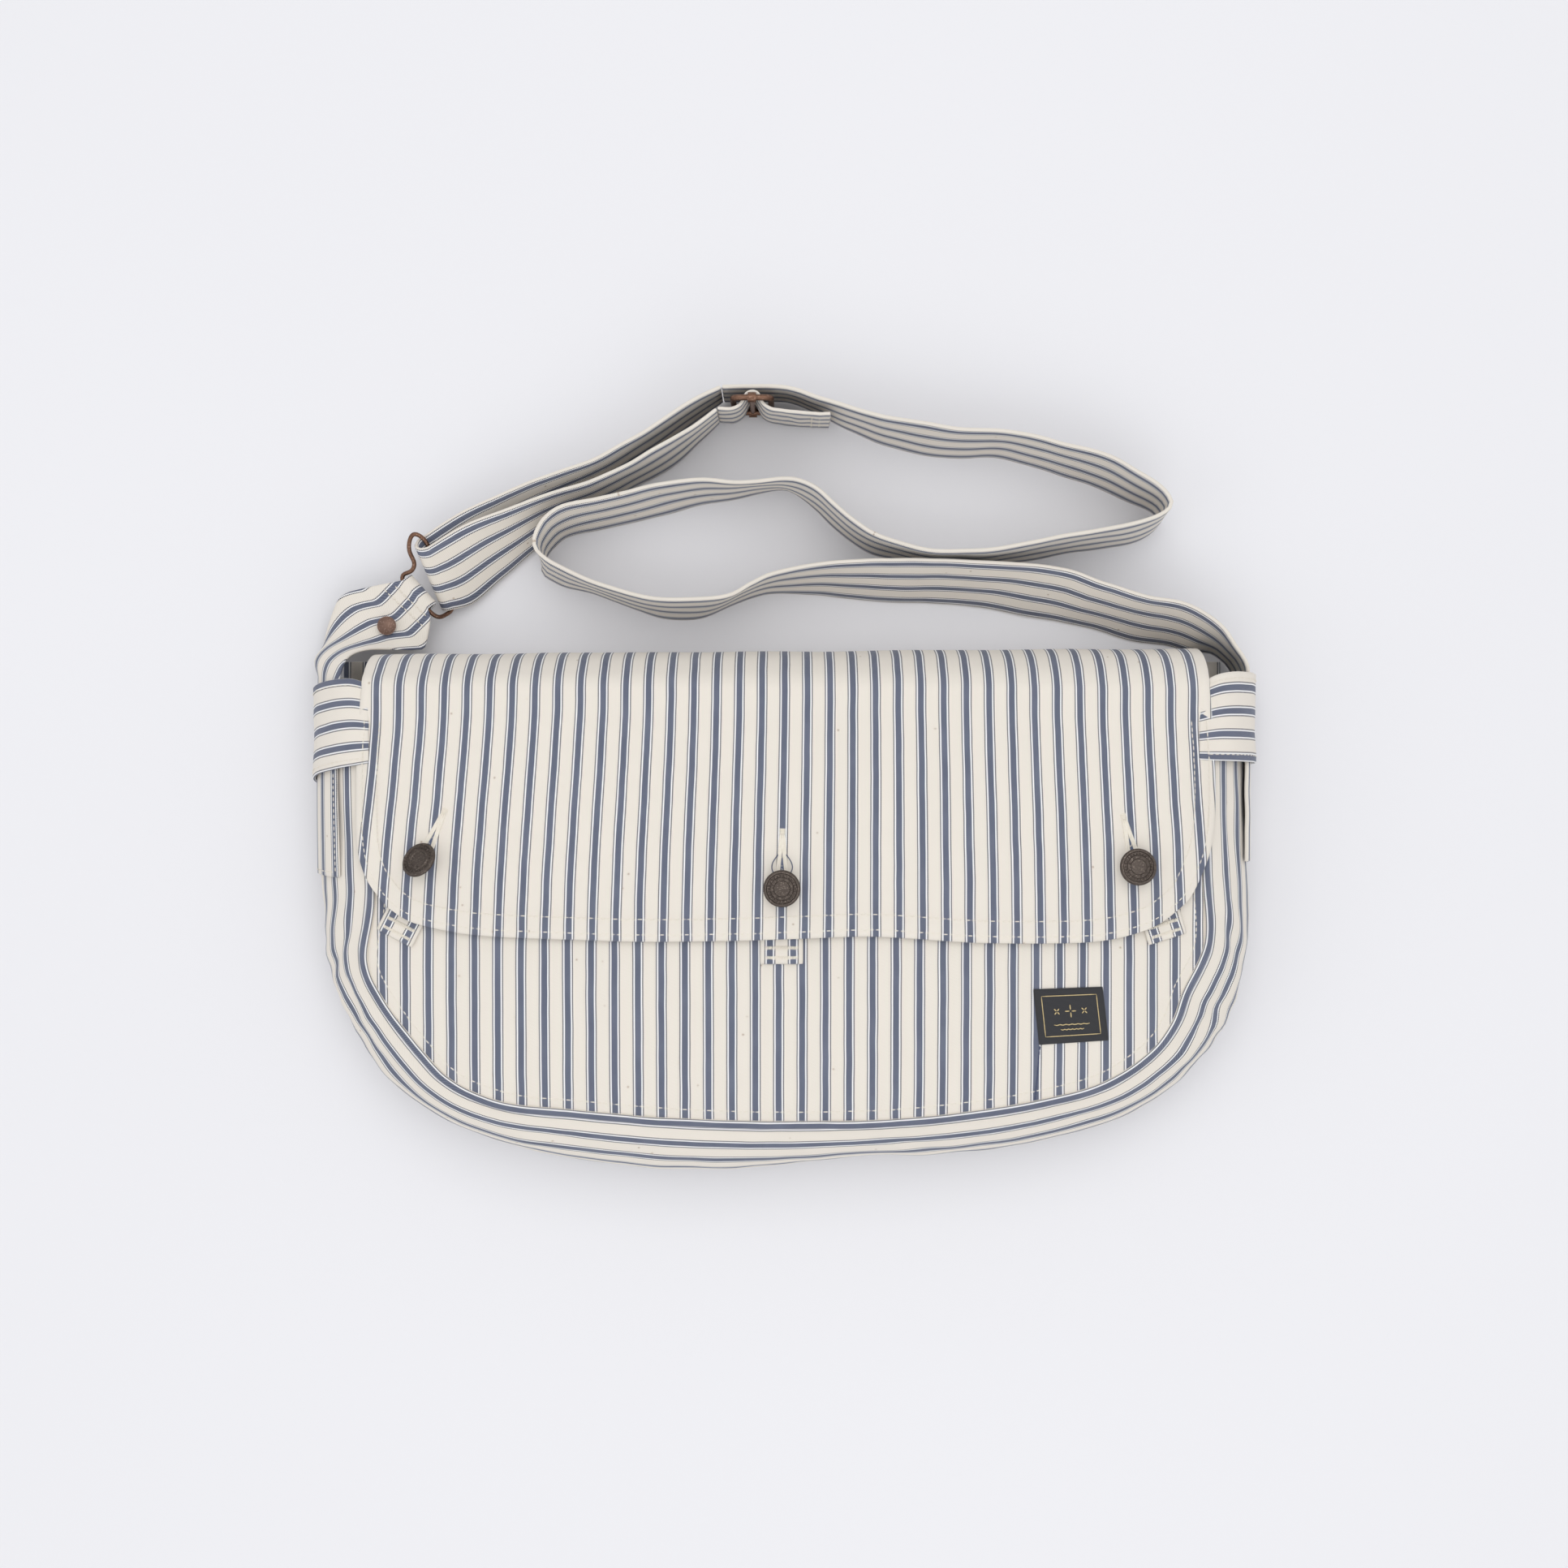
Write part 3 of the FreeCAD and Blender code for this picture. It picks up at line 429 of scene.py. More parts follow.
class Board:
    """A material being wired up."""

    def __init__(self, name):
        self.material = bpy.data.materials.new(name)
        self.material.use_nodes = True
        self.tree = self.material.node_tree
        self.tree.nodes.clear()
        self.shader = self.tree.nodes.new("ShaderNodeBsdfPrincipled")
        output = self.tree.nodes.new("ShaderNodeOutputMaterial")
        self.tree.links.new(self.shader.outputs[0], output.inputs[0])

    def put(self, target, value):
        if isinstance(value, Value):
            self.tree.links.new(value.socket, target)
        elif target.type == "RGBA" and len(value) == 3:
            target.default_value = (*value, 1.0)
        else:
            target.default_value = value

    def node(self, kind, settings=None, inputs=None, output=0):
        """Any node from its type, its settings and what goes into its sockets."""
        node = self.tree.nodes.new(kind)
        for key, value in (settings or {}).items():
            setattr(node, key, value)
        for key, value in (inputs or {}).items():
            self.put(node.inputs[key], value)
        return Value(self, node.outputs[output])

    def mix(self, factor, a, b):
        return self.node("ShaderNodeMix", {"data_type": "RGBA"}, {0: factor, 6: a, 7: b}, 2)

    def noise(self, vector, scale, detail=2.0, rough=0.5):
        return self.node("ShaderNodeTexNoise", {}, {"Vector": vector, "Scale": scale, "Detail": detail,
                                                    "Roughness": rough})

    def finish(self, colour, roughness, bump=None, strength=1.0, distance=0.001, **constants):
        self.put(self.shader.inputs["Base Color"], colour)
        self.put(self.shader.inputs["Roughness"], roughness)
        if bump is not None:
            inputs = {"Height": bump, "Strength": strength, "Distance": distance}
            self.put(self.shader.inputs["Normal"], self.node("ShaderNodeBump", {}, inputs))
        for key, value in constants.items():
            self.shader.inputs[key.replace("_", " ")].default_value = value
        return self.material


FINISHES = {}


def finish(name):
    """The named material, wired up once."""
    if name not in FINISHES:
        FINISHES[name] = MAKERS[name]()
    return FINISHES[name]


def cloth_axes(board):
    uv = board.node("ShaderNodeUVMap", {"uv_map": "Cloth"})
    across = board.node("ShaderNodeSeparateXYZ", {}, {0: uv}, 0)
    along = board.node("ShaderNodeSeparateXYZ", {}, {0: uv}, 1)
    return uv, across * 1000.0, along * 1000.0


def finish_ticking():
    """Cream cotton twill with indigo stripes between dotted pin stripes."""
    look = bpy.context.scene.mail_sack
    board = Board("Ticking")
    uv, across, along = cloth_axes(board)
    repeat = look.stripe_repeat / MM
    wobble = (board.noise(uv, 60.0, 2.0) - 0.5) * 0.5
    place = ((across + wobble) / repeat).fract() * repeat
    off = abs(place - repeat / 2)
    stripe = off.below(look.stripe_width / MM / 2, 0.14)
    halo = off.below(look.stripe_width / MM / 2 + 0.75, 0.12) * (1 - stripe)
    pin = off.below(2.72, 0.09) * (1 - off.below(2.08, 0.09))
    dots = (along / 0.92).fract() - 0.5
    pin = pin * abs(dots).below(0.36, 0.09)
    lines = abs(((along - across * 1.25) / 0.95).fract() - 0.5)
    twill = lines.below(0.27, 0.12)
    back_lines = abs(((along + across * 1.2) / 1.05).fract() - 0.5)
    fade = board.noise(uv, 45.0, 4.0, 0.6)
    cream = board.mix(back_lines.below(0.3, 0.15), look.cream, look.cream_shade)
    cream = board.mix(fade.below(0.52, 0.25) * 0.35, cream, look.cream_shade)
    blue = board.mix(twill, look.indigo_light, look.indigo)
    blue = board.mix(fade.below(0.45, 0.2) * 0.25, blue, look.indigo_light)
    specks = board.node("ShaderNodeTexVoronoi", {"feature": "F1"}, {"Vector": uv, "Scale": 95.0})
    seed = specks.below(0.055, 0.02)
    colour = board.mix(seed * 0.55, cream, (0.33, 0.22, 0.13))
    colour = board.mix(halo * 0.8, colour, look.white_yarn)
    colour = board.mix(pin, colour, look.pin_stripe)
    colour = board.mix(stripe, colour, blue)
    yarn = twill * stripe * 0.7 + back_lines.below(0.3, 0.15) * (1 - stripe) * 0.5
    height = yarn + board.noise(uv, 2200.0, 2.0) * 0.5
    return board.finish(colour, 0.92, height, 0.55, 0.00018, Sheen_Weight=0.15, Specular_IOR_Level=0.2)


def finish_thread():
    board = Board("Thread")
    place = board.node("ShaderNodeTexCoord", {}, {}, 3)
    ply = board.noise(place, 900.0, 2.0)
    colour = board.mix(ply, (0.70, 0.63, 0.52), (0.88, 0.83, 0.74))
    return board.finish(colour, 0.8, ply, 0.6, 0.0002, Sheen_Weight=0.1)


def finish_navy_thread():
    board = Board("Navy thread")
    place = board.node("ShaderNodeTexCoord", {}, {}, 3)
    ply = board.noise(place, 900.0, 2.0)
    return board.finish(board.mix(ply, (0.02, 0.03, 0.07), (0.08, 0.10, 0.19)), 0.8, ply, 0.6, 0.0002)


def finish_label():
    board = Board("Label weave")
    along = cloth_axes(board)[2]
    rib = abs((along / 0.45).fract() - 0.5)
    colour = board.mix(rib.below(0.3, 0.15), (0.035, 0.034, 0.038), (0.012, 0.012, 0.014))
    return board.finish(colour, 0.75, rib, 0.6, 0.0002, Sheen_Weight=0.2)


def finish_gold_thread():
    board = Board("Gold thread")
    place = board.node("ShaderNodeTexCoord", {}, {}, 3)
    ply = board.noise(place, 1200.0, 1.0)
    return board.finish(board.mix(ply, (0.42, 0.30, 0.12), (0.75, 0.60, 0.33)), 0.55, ply, 0.5, 0.0002)


def metal(name, dark, light, worn, roughness, scale):
    """Aged metal: tarnish in patches and brighter rubbed spots."""
    board = Board(name)
    place = board.node("ShaderNodeTexCoord", {}, {}, 3)
    patch = board.noise(place, scale, 4.0, 0.6)
    fine = board.noise(place, scale * 7, 3.0, 0.6)
    colour = board.mix(patch, dark, light)
    colour = board.mix(1 - fine.below(0.62, 0.08), colour, worn)
    return board.finish(colour, patch * 0.25 + roughness, fine, 0.35, 0.0003, Metallic=1.0)


def finish_button():
    return metal("Antique button", (0.065, 0.052, 0.045), (0.13, 0.105, 0.09), (0.30, 0.25, 0.21),
                 0.36, 260.0)


def finish_copper():
    return metal("Aged copper wire", (0.12, 0.065, 0.045), (0.24, 0.135, 0.09), (0.42, 0.27, 0.20),
                 0.30, 180.0)


def finish_rivet():
    return metal("Copper rivet", (0.14, 0.085, 0.065), (0.22, 0.14, 0.11), (0.36, 0.25, 0.20), 0.34, 220.0)


def finish_floor():
    board = Board("Pale floor")
    place = board.node("ShaderNodeTexCoord", {}, {}, 3)
    tone = board.noise(place, 2.0, 2.0)
    colour = board.mix(tone, (0.775, 0.765, 0.78), (0.80, 0.79, 0.805))
    return board.finish(colour, 0.85)


def finish_slit_shadow():
    # Dark indigo twill for the open buttonhole: painted shade of the cloth seen through the slit.
    board = Board("Shaded cloth in the slit")
    _, across, along = cloth_axes(board)
    lines = abs(((along - across * 1.25) / 0.95).fract() - 0.5)
    look = bpy.context.scene.mail_sack
    colour = board.mix(lines.below(0.25, 0.15), (0.20, 0.24, 0.36), look.indigo)
    return board.finish(colour, 0.95, lines, 0.5, 0.0002)


MAKERS = {"ticking": finish_ticking, "thread": finish_thread, "navy_thread": finish_navy_thread,
          "label": finish_label, "gold_thread": finish_gold_thread, "button": finish_button,
          "copper": finish_copper, "rivet": finish_rivet, "floor": finish_floor,
          "slit_shadow": finish_slit_shadow}


# --- pieces of the bag -------------------------------------------------------------
def gusset_grid():
    """Rows round the bag; each goes from the back seam over the side to the front seam."""
    girth = through(GIRTH, 61)
    low_line = inset_line(girth, 8)
    seam = through(FRONT_SEAM, 61)
    grid = []
    for edge, top, low in zip(girth, seam, low_line):
        inward = low - edge
        height = front_height(top.x, top.y)
        row = [Vector((low.x, low.y, 3.2))]
        for share, z in ((0.45, 8.0), (0.1, 17.0), (0.0, 28.0)):
            row.append(Vector((edge.x + inward.x * share, edge.y + inward.y * share, z)))
        for share, drop in ((0.2, 17.0), (0.55, 6.5), (0.97, 0.6)):
            flat = edge.lerp(top, share)
            row.append(Vector((flat.x, flat.y, height - drop)))
        grid.append(row)
    return grid


def puckered(grid, rows, cols):
    """Fine gusset surface with soft folds, deeper at the two bottom corners."""
    fine = refined(grid, rows, cols)
    normal = grid_normals(fine)
    result = []
    for i, row in enumerate(fine):
        line = []
        for j, p in enumerate(row):
            v = j / (cols - 1)
            corner = max(0.0, 1 - math.hypot(p.x + 212, p.y + 30) / 60,
                         1 - math.hypot(p.x - 205, p.y + 48) / 60)
            s = i * 2.6
            soft = 1.2 * rough(s, j * 2.0, 46, 5.2) + 0.6 * rough(s, j * 2.5, 17, 9.1)
            fold = corner * 2.4 * rough(s * 1.6, j * 1.2, 15, 1.7)
            crease = 0.0
            for x, y, turn, deep in CREASES:
                away = (p.x - x) * math.cos(turn) + (p.y - y) * math.sin(turn)
                along = -(p.x - x) * math.sin(turn) + (p.y - y) * math.cos(turn)
                crease -= deep * math.exp(-(away / 2.6) ** 2 - (along / 17) ** 2)
                crease += deep * 0.7 * math.exp(-((away - 5) / 4.0) ** 2 - (along / 19) ** 2)
            rise = (soft + fold) * math.sin(math.pi * v) + crease * min(1, 4 * v * (1 - v))
            line.append(p + normal[i][j] * rise)
        result.append(line)
    return result


def patch(grid, first, last, low, high, rows, cols):
    """Part of a coarse grid by share of its length and width, resampled."""
    tall = len(grid) - 1
    wide = len(grid[0]) - 1
    fine = refined(grid, tall * 4 + 1, wide * 6 + 1)
    result = []
    for i in range(rows):
        a = lerp(first, last, i / (rows - 1)) * tall * 4
        i0 = min(int(a), tall * 4 - 1)
        row = []
        for j in range(cols):
            b = lerp(low, high, j / (cols - 1)) * wide * 6
            j0 = min(int(b), wide * 6 - 1)
            one = fine[i0][j0].lerp(fine[i0][j0 + 1], b - j0)
            two = fine[i0 + 1][j0].lerp(fine[i0 + 1][j0 + 1], b - j0)
            row.append(one.lerp(two, a - i0))
        result.append(row)
    return result


def build_bag():
    look = bpy.context.scene.mail_sack
    repeat = look.stripe_repeat / MM
    gusset = gusset_grid()
    side = puckered(gusset, 301, 31)
    uv = []
    for row in measured_uv(side):
        width = row[-1][0]
        uv.append([(u - width + repeat * 8.5, v) for u, v in row])
    piece = cloth("gusset_cloth", side, uv, 1.3, "bag")
    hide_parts("gusset")
    declare(side)

    seam = through(FRONT_SEAM, 145)
    inner = inset_line(seam, 1.0)
    left = [p for p in inner if p.x < -177 or (p.x < 0 and p.y > -50)]
    right = [p for p in inner if p.x > 179 or (p.x > 0 and p.y > -50)]
    bottom = [left[-1]] + [p for p in inner if p not in left and p not in right] + [right[0]]
    left = [Vector((-204, MOUTH_Y, 0))] + [p for p in left if p.y < MOUTH_Y - 1]
    right = [p for p in right if p.y < MOUTH_Y - 1] + [Vector((205, MOUTH_Y, 0))]
    flat = coons(left, bottom, right, 70, 150)
    front = [[Vector((p.x, p.y, front_skin(p.x, p.y))) for p in row] for row in flat]
    uv = [[((p.x + 2.6) * 0.99 + repeat * 40.5, p.y + 500) for p in row] for row in flat]
    piece = cloth("front_panel_cloth", front, uv, 1.1, "bag")
    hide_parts("front_panel", "mouth_hem")
    declare(front)

    edge = inset_line(through(GIRTH, 145), 5.2)
    west = [Vector((edge[0].x, 127.5, 0))] + [p for p in edge if p.x < -180 and p.y < 119]
    east = [p for p in edge if p.x > 180 and p.y < 119] + [Vector((edge[-1].x, 127.5, 0))]
    base = [west[-1]] + [p for p in edge if p not in west and p not in east and p.y < 0] + [east[0]]
    flat = coons(west, base, east, 40, 90)
    back = []
    for row in flat:
        back.append([Vector((p.x, p.y, 1.2 + 0.35 * rough(p.x, p.y, 60, 4.4))) for p in row])
    uv = [[(p.x + repeat * 40.5, p.y + 900) for p in row] for row in flat]
    piece = cloth("back_panel_cloth", back, uv, 1.0, "bag")
    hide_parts("back_panel")
    declare(back)

    for name, line, inset, radius, height in (
            ("front_seam", through(FRONT_SEAM, 241), 0.0, 1.9, front_height),
            ("back_seam", through(GIRTH, 241), 4.4, 1.4, lambda x, y: 1.75)):
        path = inset_line(line, inset)
        rows = []
        for i, p in enumerate(path):
            way = path[min(i + 1, 240)] - path[max(i - 1, 0)]
            out = Vector((way.y, -way.x, 0)).normalized()
            z = height(p.x, p.y) + 0.25 * rough(i * 3.0, 0, 12, 6)
            wave = 0.45 * rough(i * 3.0, 5, 26, 2)
            ring = []
            for k in range(9):
                t = math.radians(-60 + 300 * k / 8)
                ring.append(Vector((p.x, p.y, z)) + out * (math.cos(t) * radius + wave)
                            + Vector((0, 0, math.sin(t) * radius)))
            rows.append(ring)
        uv = [[(u + repeat * 0.5 - radius * 2.2, v) for u, v in row] for row in measured_uv(rows)]
        piece = cloth(name + "_cloth", rows, uv, 0.5, "bag")
        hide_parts(name + "_welt")

    for side in SIDE_BANDS:
        build_side_band(side, repeat)


def build_side_band(side, repeat):
    """Band of cloth over the bag's side, pulled tight over the strip beneath it."""
    turn = 1 if side == "left" else -1
    band = []
    for i in range(31):
        t = i / 30 if side == "left" else 1 - i / 30
        row = through([(x, lerp(upper, lower, t), z) for x, z, upper, lower in SIDE_BANDS[side]], 37)
        sag = 0.5 * math.sin(math.pi * t)
        for k, p in enumerate(row):
            ripple = 0.45 * rough(p.y * 1.4, k * 1.6, 17, 3 + turn)
            sway = turn * (ripple - sag) * (1 - smooth((k - 20) / 12))
            row[k] = Vector((p.x - sway, p.y + 0.5 * ripple, p.z))
        band.append(row)
    run = measured_uv(band)
    uv = [[(v + repeat * (0.42 if side == "left" else 0.35), u) for u, v in row] for row in run]
    piece = cloth("side_band_%s_cloth" % side, band, uv, 1.3, "bag")
    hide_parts("side_band_" + side)
    declare(band)
    normal = grid_normals(band)
    rows = []
    for k in (2, 28):
        rows.append([p + n * 0.8 for p, n in zip(band[k], normal[k])][2:-2])
    stitches("side_band_%s_stitches" % side, rows, "bag", 3.0, 2.1, 0.22)


def flap_outline(inset):
    """Flap's free edge moved in, as a flat line from ridge to ridge."""
    line = through(FLAP_LEFT[:-1] + FLAP_HEM + FLAP_RIGHT[1:], 241)
    return inset_line(line, inset)


def build_flap():
    look = bpy.context.scene.mail_sack
    repeat = look.stripe_repeat / MM
    flat = coons(FLAP_LEFT, FLAP_HEM, FLAP_RIGHT, 64, 160)
    edge = flap_outline(0.0)
    grid = []
    for k, (y, z) in enumerate(reversed([(p.x, p.y) for p in through(FLAP_BACK, 30)][1:])):
        row = []
        for p in flat[0]:
            tilt = 0.007 * p.x * smooth((y - 114) / 8)
            swell = 0.7 * rough(p.x, k * 3.0, 40, 8.8) * math.sin(math.pi * k / 28)
            row.append(Vector((p.x, y + tilt + swell * 0.8, z + swell * 0.5)))
        grid.append(row)
    for row in flat:
        line = []
        for p in row:
            near = min((p - q).length for q in edge) if p.y < 100 else 99
            hem = 0.5 * (1 - smooth((near - 9.6) / 1.8))
            sides = smooth((abs(p.x) - 186) / 26) * smooth((p.y - 30) / 40)
            line.append(Vector((p.x, p.y, flap_skin(p.x, p.y) + hem - sides * 1.6)))
        grid.append(line)
    run = measured_uv(grid)
    uv = []
    for i, row in enumerate(grid):
        line = []
        for j, p in enumerate(row):
            pitch = lerp(11.12, 11.5, smooth((118 - p.y) / 130))
            middle = lerp(0.4, -1.4, smooth((118 - p.y) / 130))
            line.append(((p.x - middle) / pitch * repeat + repeat * 40.5, run[i][j][1]))
        uv.append(line)
    piece = cloth("flap_cloth", grid, uv, 1.3, None)
    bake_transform(piece)
    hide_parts("flap", "flap_hem", "flap_bridge", "flap_ridge_roll")
    declare(grid)
    rows = []
    for inset in (3.0, 10.5):
        line = [p for p in flap_outline(inset) if p.y < 98]
        rows.append([Vector((p.x, p.y, flap_skin(p.x, p.y) + 1.15)) for p in line])
    stitches("flap_hem_stitches", rows, "flap")
    for name, (x, y, _, _, ax, ay) in BUTTONS.items():
        build_buttonhole(name, Vector((x, y, 0)), Vector((ax, ay, 0)))


def build_buttonhole(name, button, apex):
    """Slit held open by the button: two bound edges meeting at a bar tack."""
    way = (button - apex).normalized()
    side = Vector((-way.y, way.x, 0))
    verts, faces = [], []
    span = (button - apex).length - 5
    for sign in (-1, 1):
        for strand in (-0.45, 0.45):
            line = []
            for k in range(9):
                t = k / 8
                p = apex + way * (span * t) + side * (sign * (0.4 + 1.9 * t ** 1.2) + strand)
                line.append(Vector((p.x, p.y, flap_skin(p.x, p.y) + 0.85)))
            tube(line, 0.62, 8, verts, faces, 0.6)
    for k in range(4):
        p = apex - way * (0.4 + 0.7 * k)
        a, b = p + side * 1.5, p - side * 1.5
        line = [Vector((q.x, q.y, flap_skin(q.x, q.y) + 0.85)) for q in (a, a.lerp(b, 0.5), b)]
        tube(line, 0.4, 6, verts, faces, 0.6)
    rng = random.Random(name)
    for k in range(9):
        p = apex + way * (span * rng.uniform(0.15, 0.95)) + side * rng.uniform(-1.2, 1.2)
        heading = side * rng.uniform(-2.2, 2.2) + way * rng.uniform(-1.5, 1.5)
        line = [p + heading * (m / 4) + side * (0.4 * math.sin(m * 1.3 + k)) for m in range(5)]
        line = [Vector((q.x, q.y, flap_skin(q.x, q.y) + 0.9 + 0.22 * m)) for m, q in enumerate(line)]
        tube(line, 0.16, 5, verts, faces, 0.6)
    add_piece("buttonhole_%s_stitching" % name, verts, faces, None, finish("thread"), "flap")
    if name == "centre":
        verts, faces = [], []
        for bend in (1, -1):
            line = []
            for k in range(13):
                t = k / 12
                p = apex + way * (span * (0.45 + 0.5 * t)) + side * (bend * (1.6 + 3.4 * math.sin(2.6 * t)))
                line.append(Vector((p.x, p.y, flap_skin(p.x, p.y) + 1.1 + 1.4 * math.sin(math.pi * t))))
            tube(line, 0.24, 6, verts, faces, 0.6)
        add_piece("loose_navy_thread", verts, faces, None, finish("navy_thread"), "flap")
    # thin dark sheet laid in the slit: painted shade inside the open buttonhole
    grid = []
    for k in range(8):
        t = 0.12 + 0.88 * k / 7
        reach = 0.3 + 1.6 * t ** 1.2
        row = []
        for m in (-1, -0.33, 0.33, 1):
            p = apex + way * (span * t) + side * (m * reach)
            row.append(Vector((p.x, p.y, flap_skin(p.x, p.y) + 0.78)))
        grid.append(row)
    uv = [[(p.x + 5.67, p.y) for p in row] for row in grid]
    cloth("buttonhole_%s_slit" % name, grid, uv, 0.25, "flap", 0.0, finish("slit_shadow"))


def turned(x, y, cx, cy, degrees):
    a = math.radians(degrees)
    dx, dy = x - cx, y - cy
    return cx + dx * math.cos(a) - dy * math.sin(a), cy + dx * math.sin(a) + dy * math.cos(a)


def build_tabs_and_label():
    look = bpy.context.scene.mail_sack
    repeat = look.stripe_repeat / MM
    for name, (x, y, width, length, turn) in TABS.items():
        grid, uv = [], []
        for i in range(33):
            row, line = [], []
            for j in range(13):
                px, py = x + width * (j / 12 - 0.5), y + length * (1 - i / 32)
                qx, qy = turned(px, py, x, y + 6, turn)
                curl = 0.4 * smooth((i - 26) / 6)
                row.append(Vector((qx, qy, front_skin(qx, qy) + 1.55 + curl)))
                line.append((px - x + repeat * 20, py + 300))
            grid.append(row)
            uv.append(line)
        piece = cloth("button_tab_%s_cloth" % name, grid, uv, 1.7, "bag")
        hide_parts("button_tab_" + name)
        declare(grid)
        rows = []
        for rise in (2.6, 7.4):
            for k in range(19):
                cx = x + width * 0.76 * (k / 18 - 0.5)
                ends = [turned(cx + way * 0.25, y + rise + way * 0.9, x, y + 6, turn) for way in (-1, 1)]
                rows.append([Vector((a, b, front_skin(a, b) + 2.75)) for a, b in ends])
        piece = stitches("bar_tack_%s_thread" % name, rows, "bag", 4.0, 1.9, 0.36)
        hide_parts("bar_tacks_" + name)
    build_label()
    divider = [Vector((lerp(125.2, 123.2, t / 9), lerp(-63.6, -90.5, t / 9), 0)) for t in range(10)]
    line = [Vector((p.x, p.y, front_skin(p.x, p.y) + 0.75)) for p in divider]
    piece = stitches("pocket_divider_thread", [line], "bag", 2.4, 2.2, 0.34, finish("navy_thread"))
    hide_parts("pocket_divider_stitch")
    path = [p for p in inset_line(through(FRONT_SEAM, 241), 6.6) if p.y < 84]
    line = [Vector((p.x, p.y, front_skin(p.x, p.y) + 0.65)) for p in path]
    stitches("front_seam_stitches", [line], "bag")


def label_point(u, v, lift):
    """Point on the label by share of its width and height."""
    a, b, c, d = [Vector((*p, 0)) for p in LABEL]
    p = a.lerp(b, u).lerp(d.lerp(c, u), v)
    return Vector((p.x, p.y, front_skin(p.x, p.y) + 1.05 + lift))


def build_label():
    """Black woven label: a plain gold border, three crosses of leaves and two wavy lines."""
    grid = [[label_point(j / 20, i / 16, 0.0) for j in range(21)] for i in range(17)]
    piece = cloth("label_cloth", grid, measured_uv(grid), 0.6, "bag", 0.0, finish("label"))
    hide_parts("label")
    declare(grid)
    verts, faces = [], []
    corners = [(0.1, 0.13), (0.9, 0.13), (0.9, 0.87), (0.1, 0.87), (0.1, 0.13)]
    for (u, v), (s, t) in zip(corners, corners[1:]):
        edge = [label_point(lerp(u, s, k / 10), lerp(v, t, k / 10), 0.38) for k in range(11)]
        tube(edge, 0.22, 6, verts, faces)
    for cu in (0.3, 0.5, 0.7):
        for turn in range(4):
            a = math.pi / 2 * turn + math.pi / 4 * (cu != 0.5)
            reach = 0.055 if cu != 0.5 else 0.09
            line = []
            for k in range(5):
                r = reach * (0.2 + 0.8 * k / 4)
                line.append(label_point(cu + r * math.cos(a) * 0.9, 0.42 + r * math.sin(a) * 1.3, 0.38))
            tube(line, 0.3, 6, verts, faces, 0.4)
    for row, half in ((0.66, 0.26), (0.75, 0.17)):
        line = [label_point(0.5 + half * (k / 12 - 0.5) * 2, row + 0.012 * (k % 2), 0.38) for k in range(13)]
        tube(line, 0.24, 6, verts, faces, 0.5)
    add_piece("label_motif", verts, faces, None, finish("gold_thread"), "bag")


def build_loop_tab():
    look = bpy.context.scene.mail_sack
    repeat = look.stripe_repeat / MM
    gusset = gusset_grid()
    strip = patch(gusset, 0.0, 0.118, 0.08, 0.76, 49, 25)
    normal = grid_normals(strip)
    strip = [[p + n * 2.1 for p, n in zip(r, m)] for r, m in zip(strip, normal)]
    start = [p + Vector((0, 0.8, 0)) for p in strip[0]]
    left, right = through([start[0]] + TAB_LEFT, 41), through([start[-1]] + TAB_RIGHT, 41)
    upper = []
    for i in range(1, 41):
        fade = 1 - smooth(i / 20)
        row = []
        for k, curved in enumerate(start):
            t = k / (len(start) - 1)
            bow = curved - start[0].lerp(start[-1], t)
            sag = 0.9 * rough(i * 3.5, k * 2.0, 22, 3) * smooth(i / 12) * smooth((40 - i) / 8)
            droop = Vector((0, 0, sag))
            row.append(left[i].lerp(right[i], t) + bow * fade + droop)
        upper.append(row)
    a, b = upper[-1][0], upper[-1][-1]
    out = Vector((-(b.y - a.y), b.x - a.x, 0)).normalized()
    tip = []
    for step in range(1, 13):
        t = math.radians(15 * step)
        shift = out * (0.3 + 4.0 * math.sin(t)) + Vector((0, 0, -4.0 * (1 - math.cos(t))))
        tip.append([p + shift for p in upper[-1]])
    for back, drop in ((4, 9.2), (8, 10.4), (16, 12.3), (27, 14.4)):
        tip.append([p + Vector((0, 0, -drop)) - out * back for p in upper[-1]])
    grid = list(reversed(strip)) + upper + tip
    run = measured_uv(grid)
    uv = []
    for row in run:
        width = row[-1][0]
        uv.append([(u - width / 2 + repeat * 20.5, v) for u, v in row])
    piece = cloth("loop_tab_cloth", grid, uv, 1.5, "bag")
    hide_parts("loop_tab", "loop_tab_side", "loop_tab_fold")
    declare(grid)
    rows = []
    for back in (4, 7):
        line = upper[-back]
        lift = [n * 1.0 for n in grid_normals(upper)[-back]]
        rows.append([p - n if n.z < 0 else p + n for p, n in zip(line, lift)][2:-2])
    stitches("loop_tab_stitches", rows, "bag", 2.8, 2.1, 0.3)
    normal = grid_normals(strip)
    edge = [p + n * 0.95 for p, n in zip([r[-2] for r in strip], [m[-2] for m in normal])]
    end = [p + n * 0.95 for p, n in zip(strip[-2], normal[-2])]
    stitches("loop_tab_side_stitches", [edge[22:-1], end[2:-2]], "bag", 2.8, 2.1, 0.24)


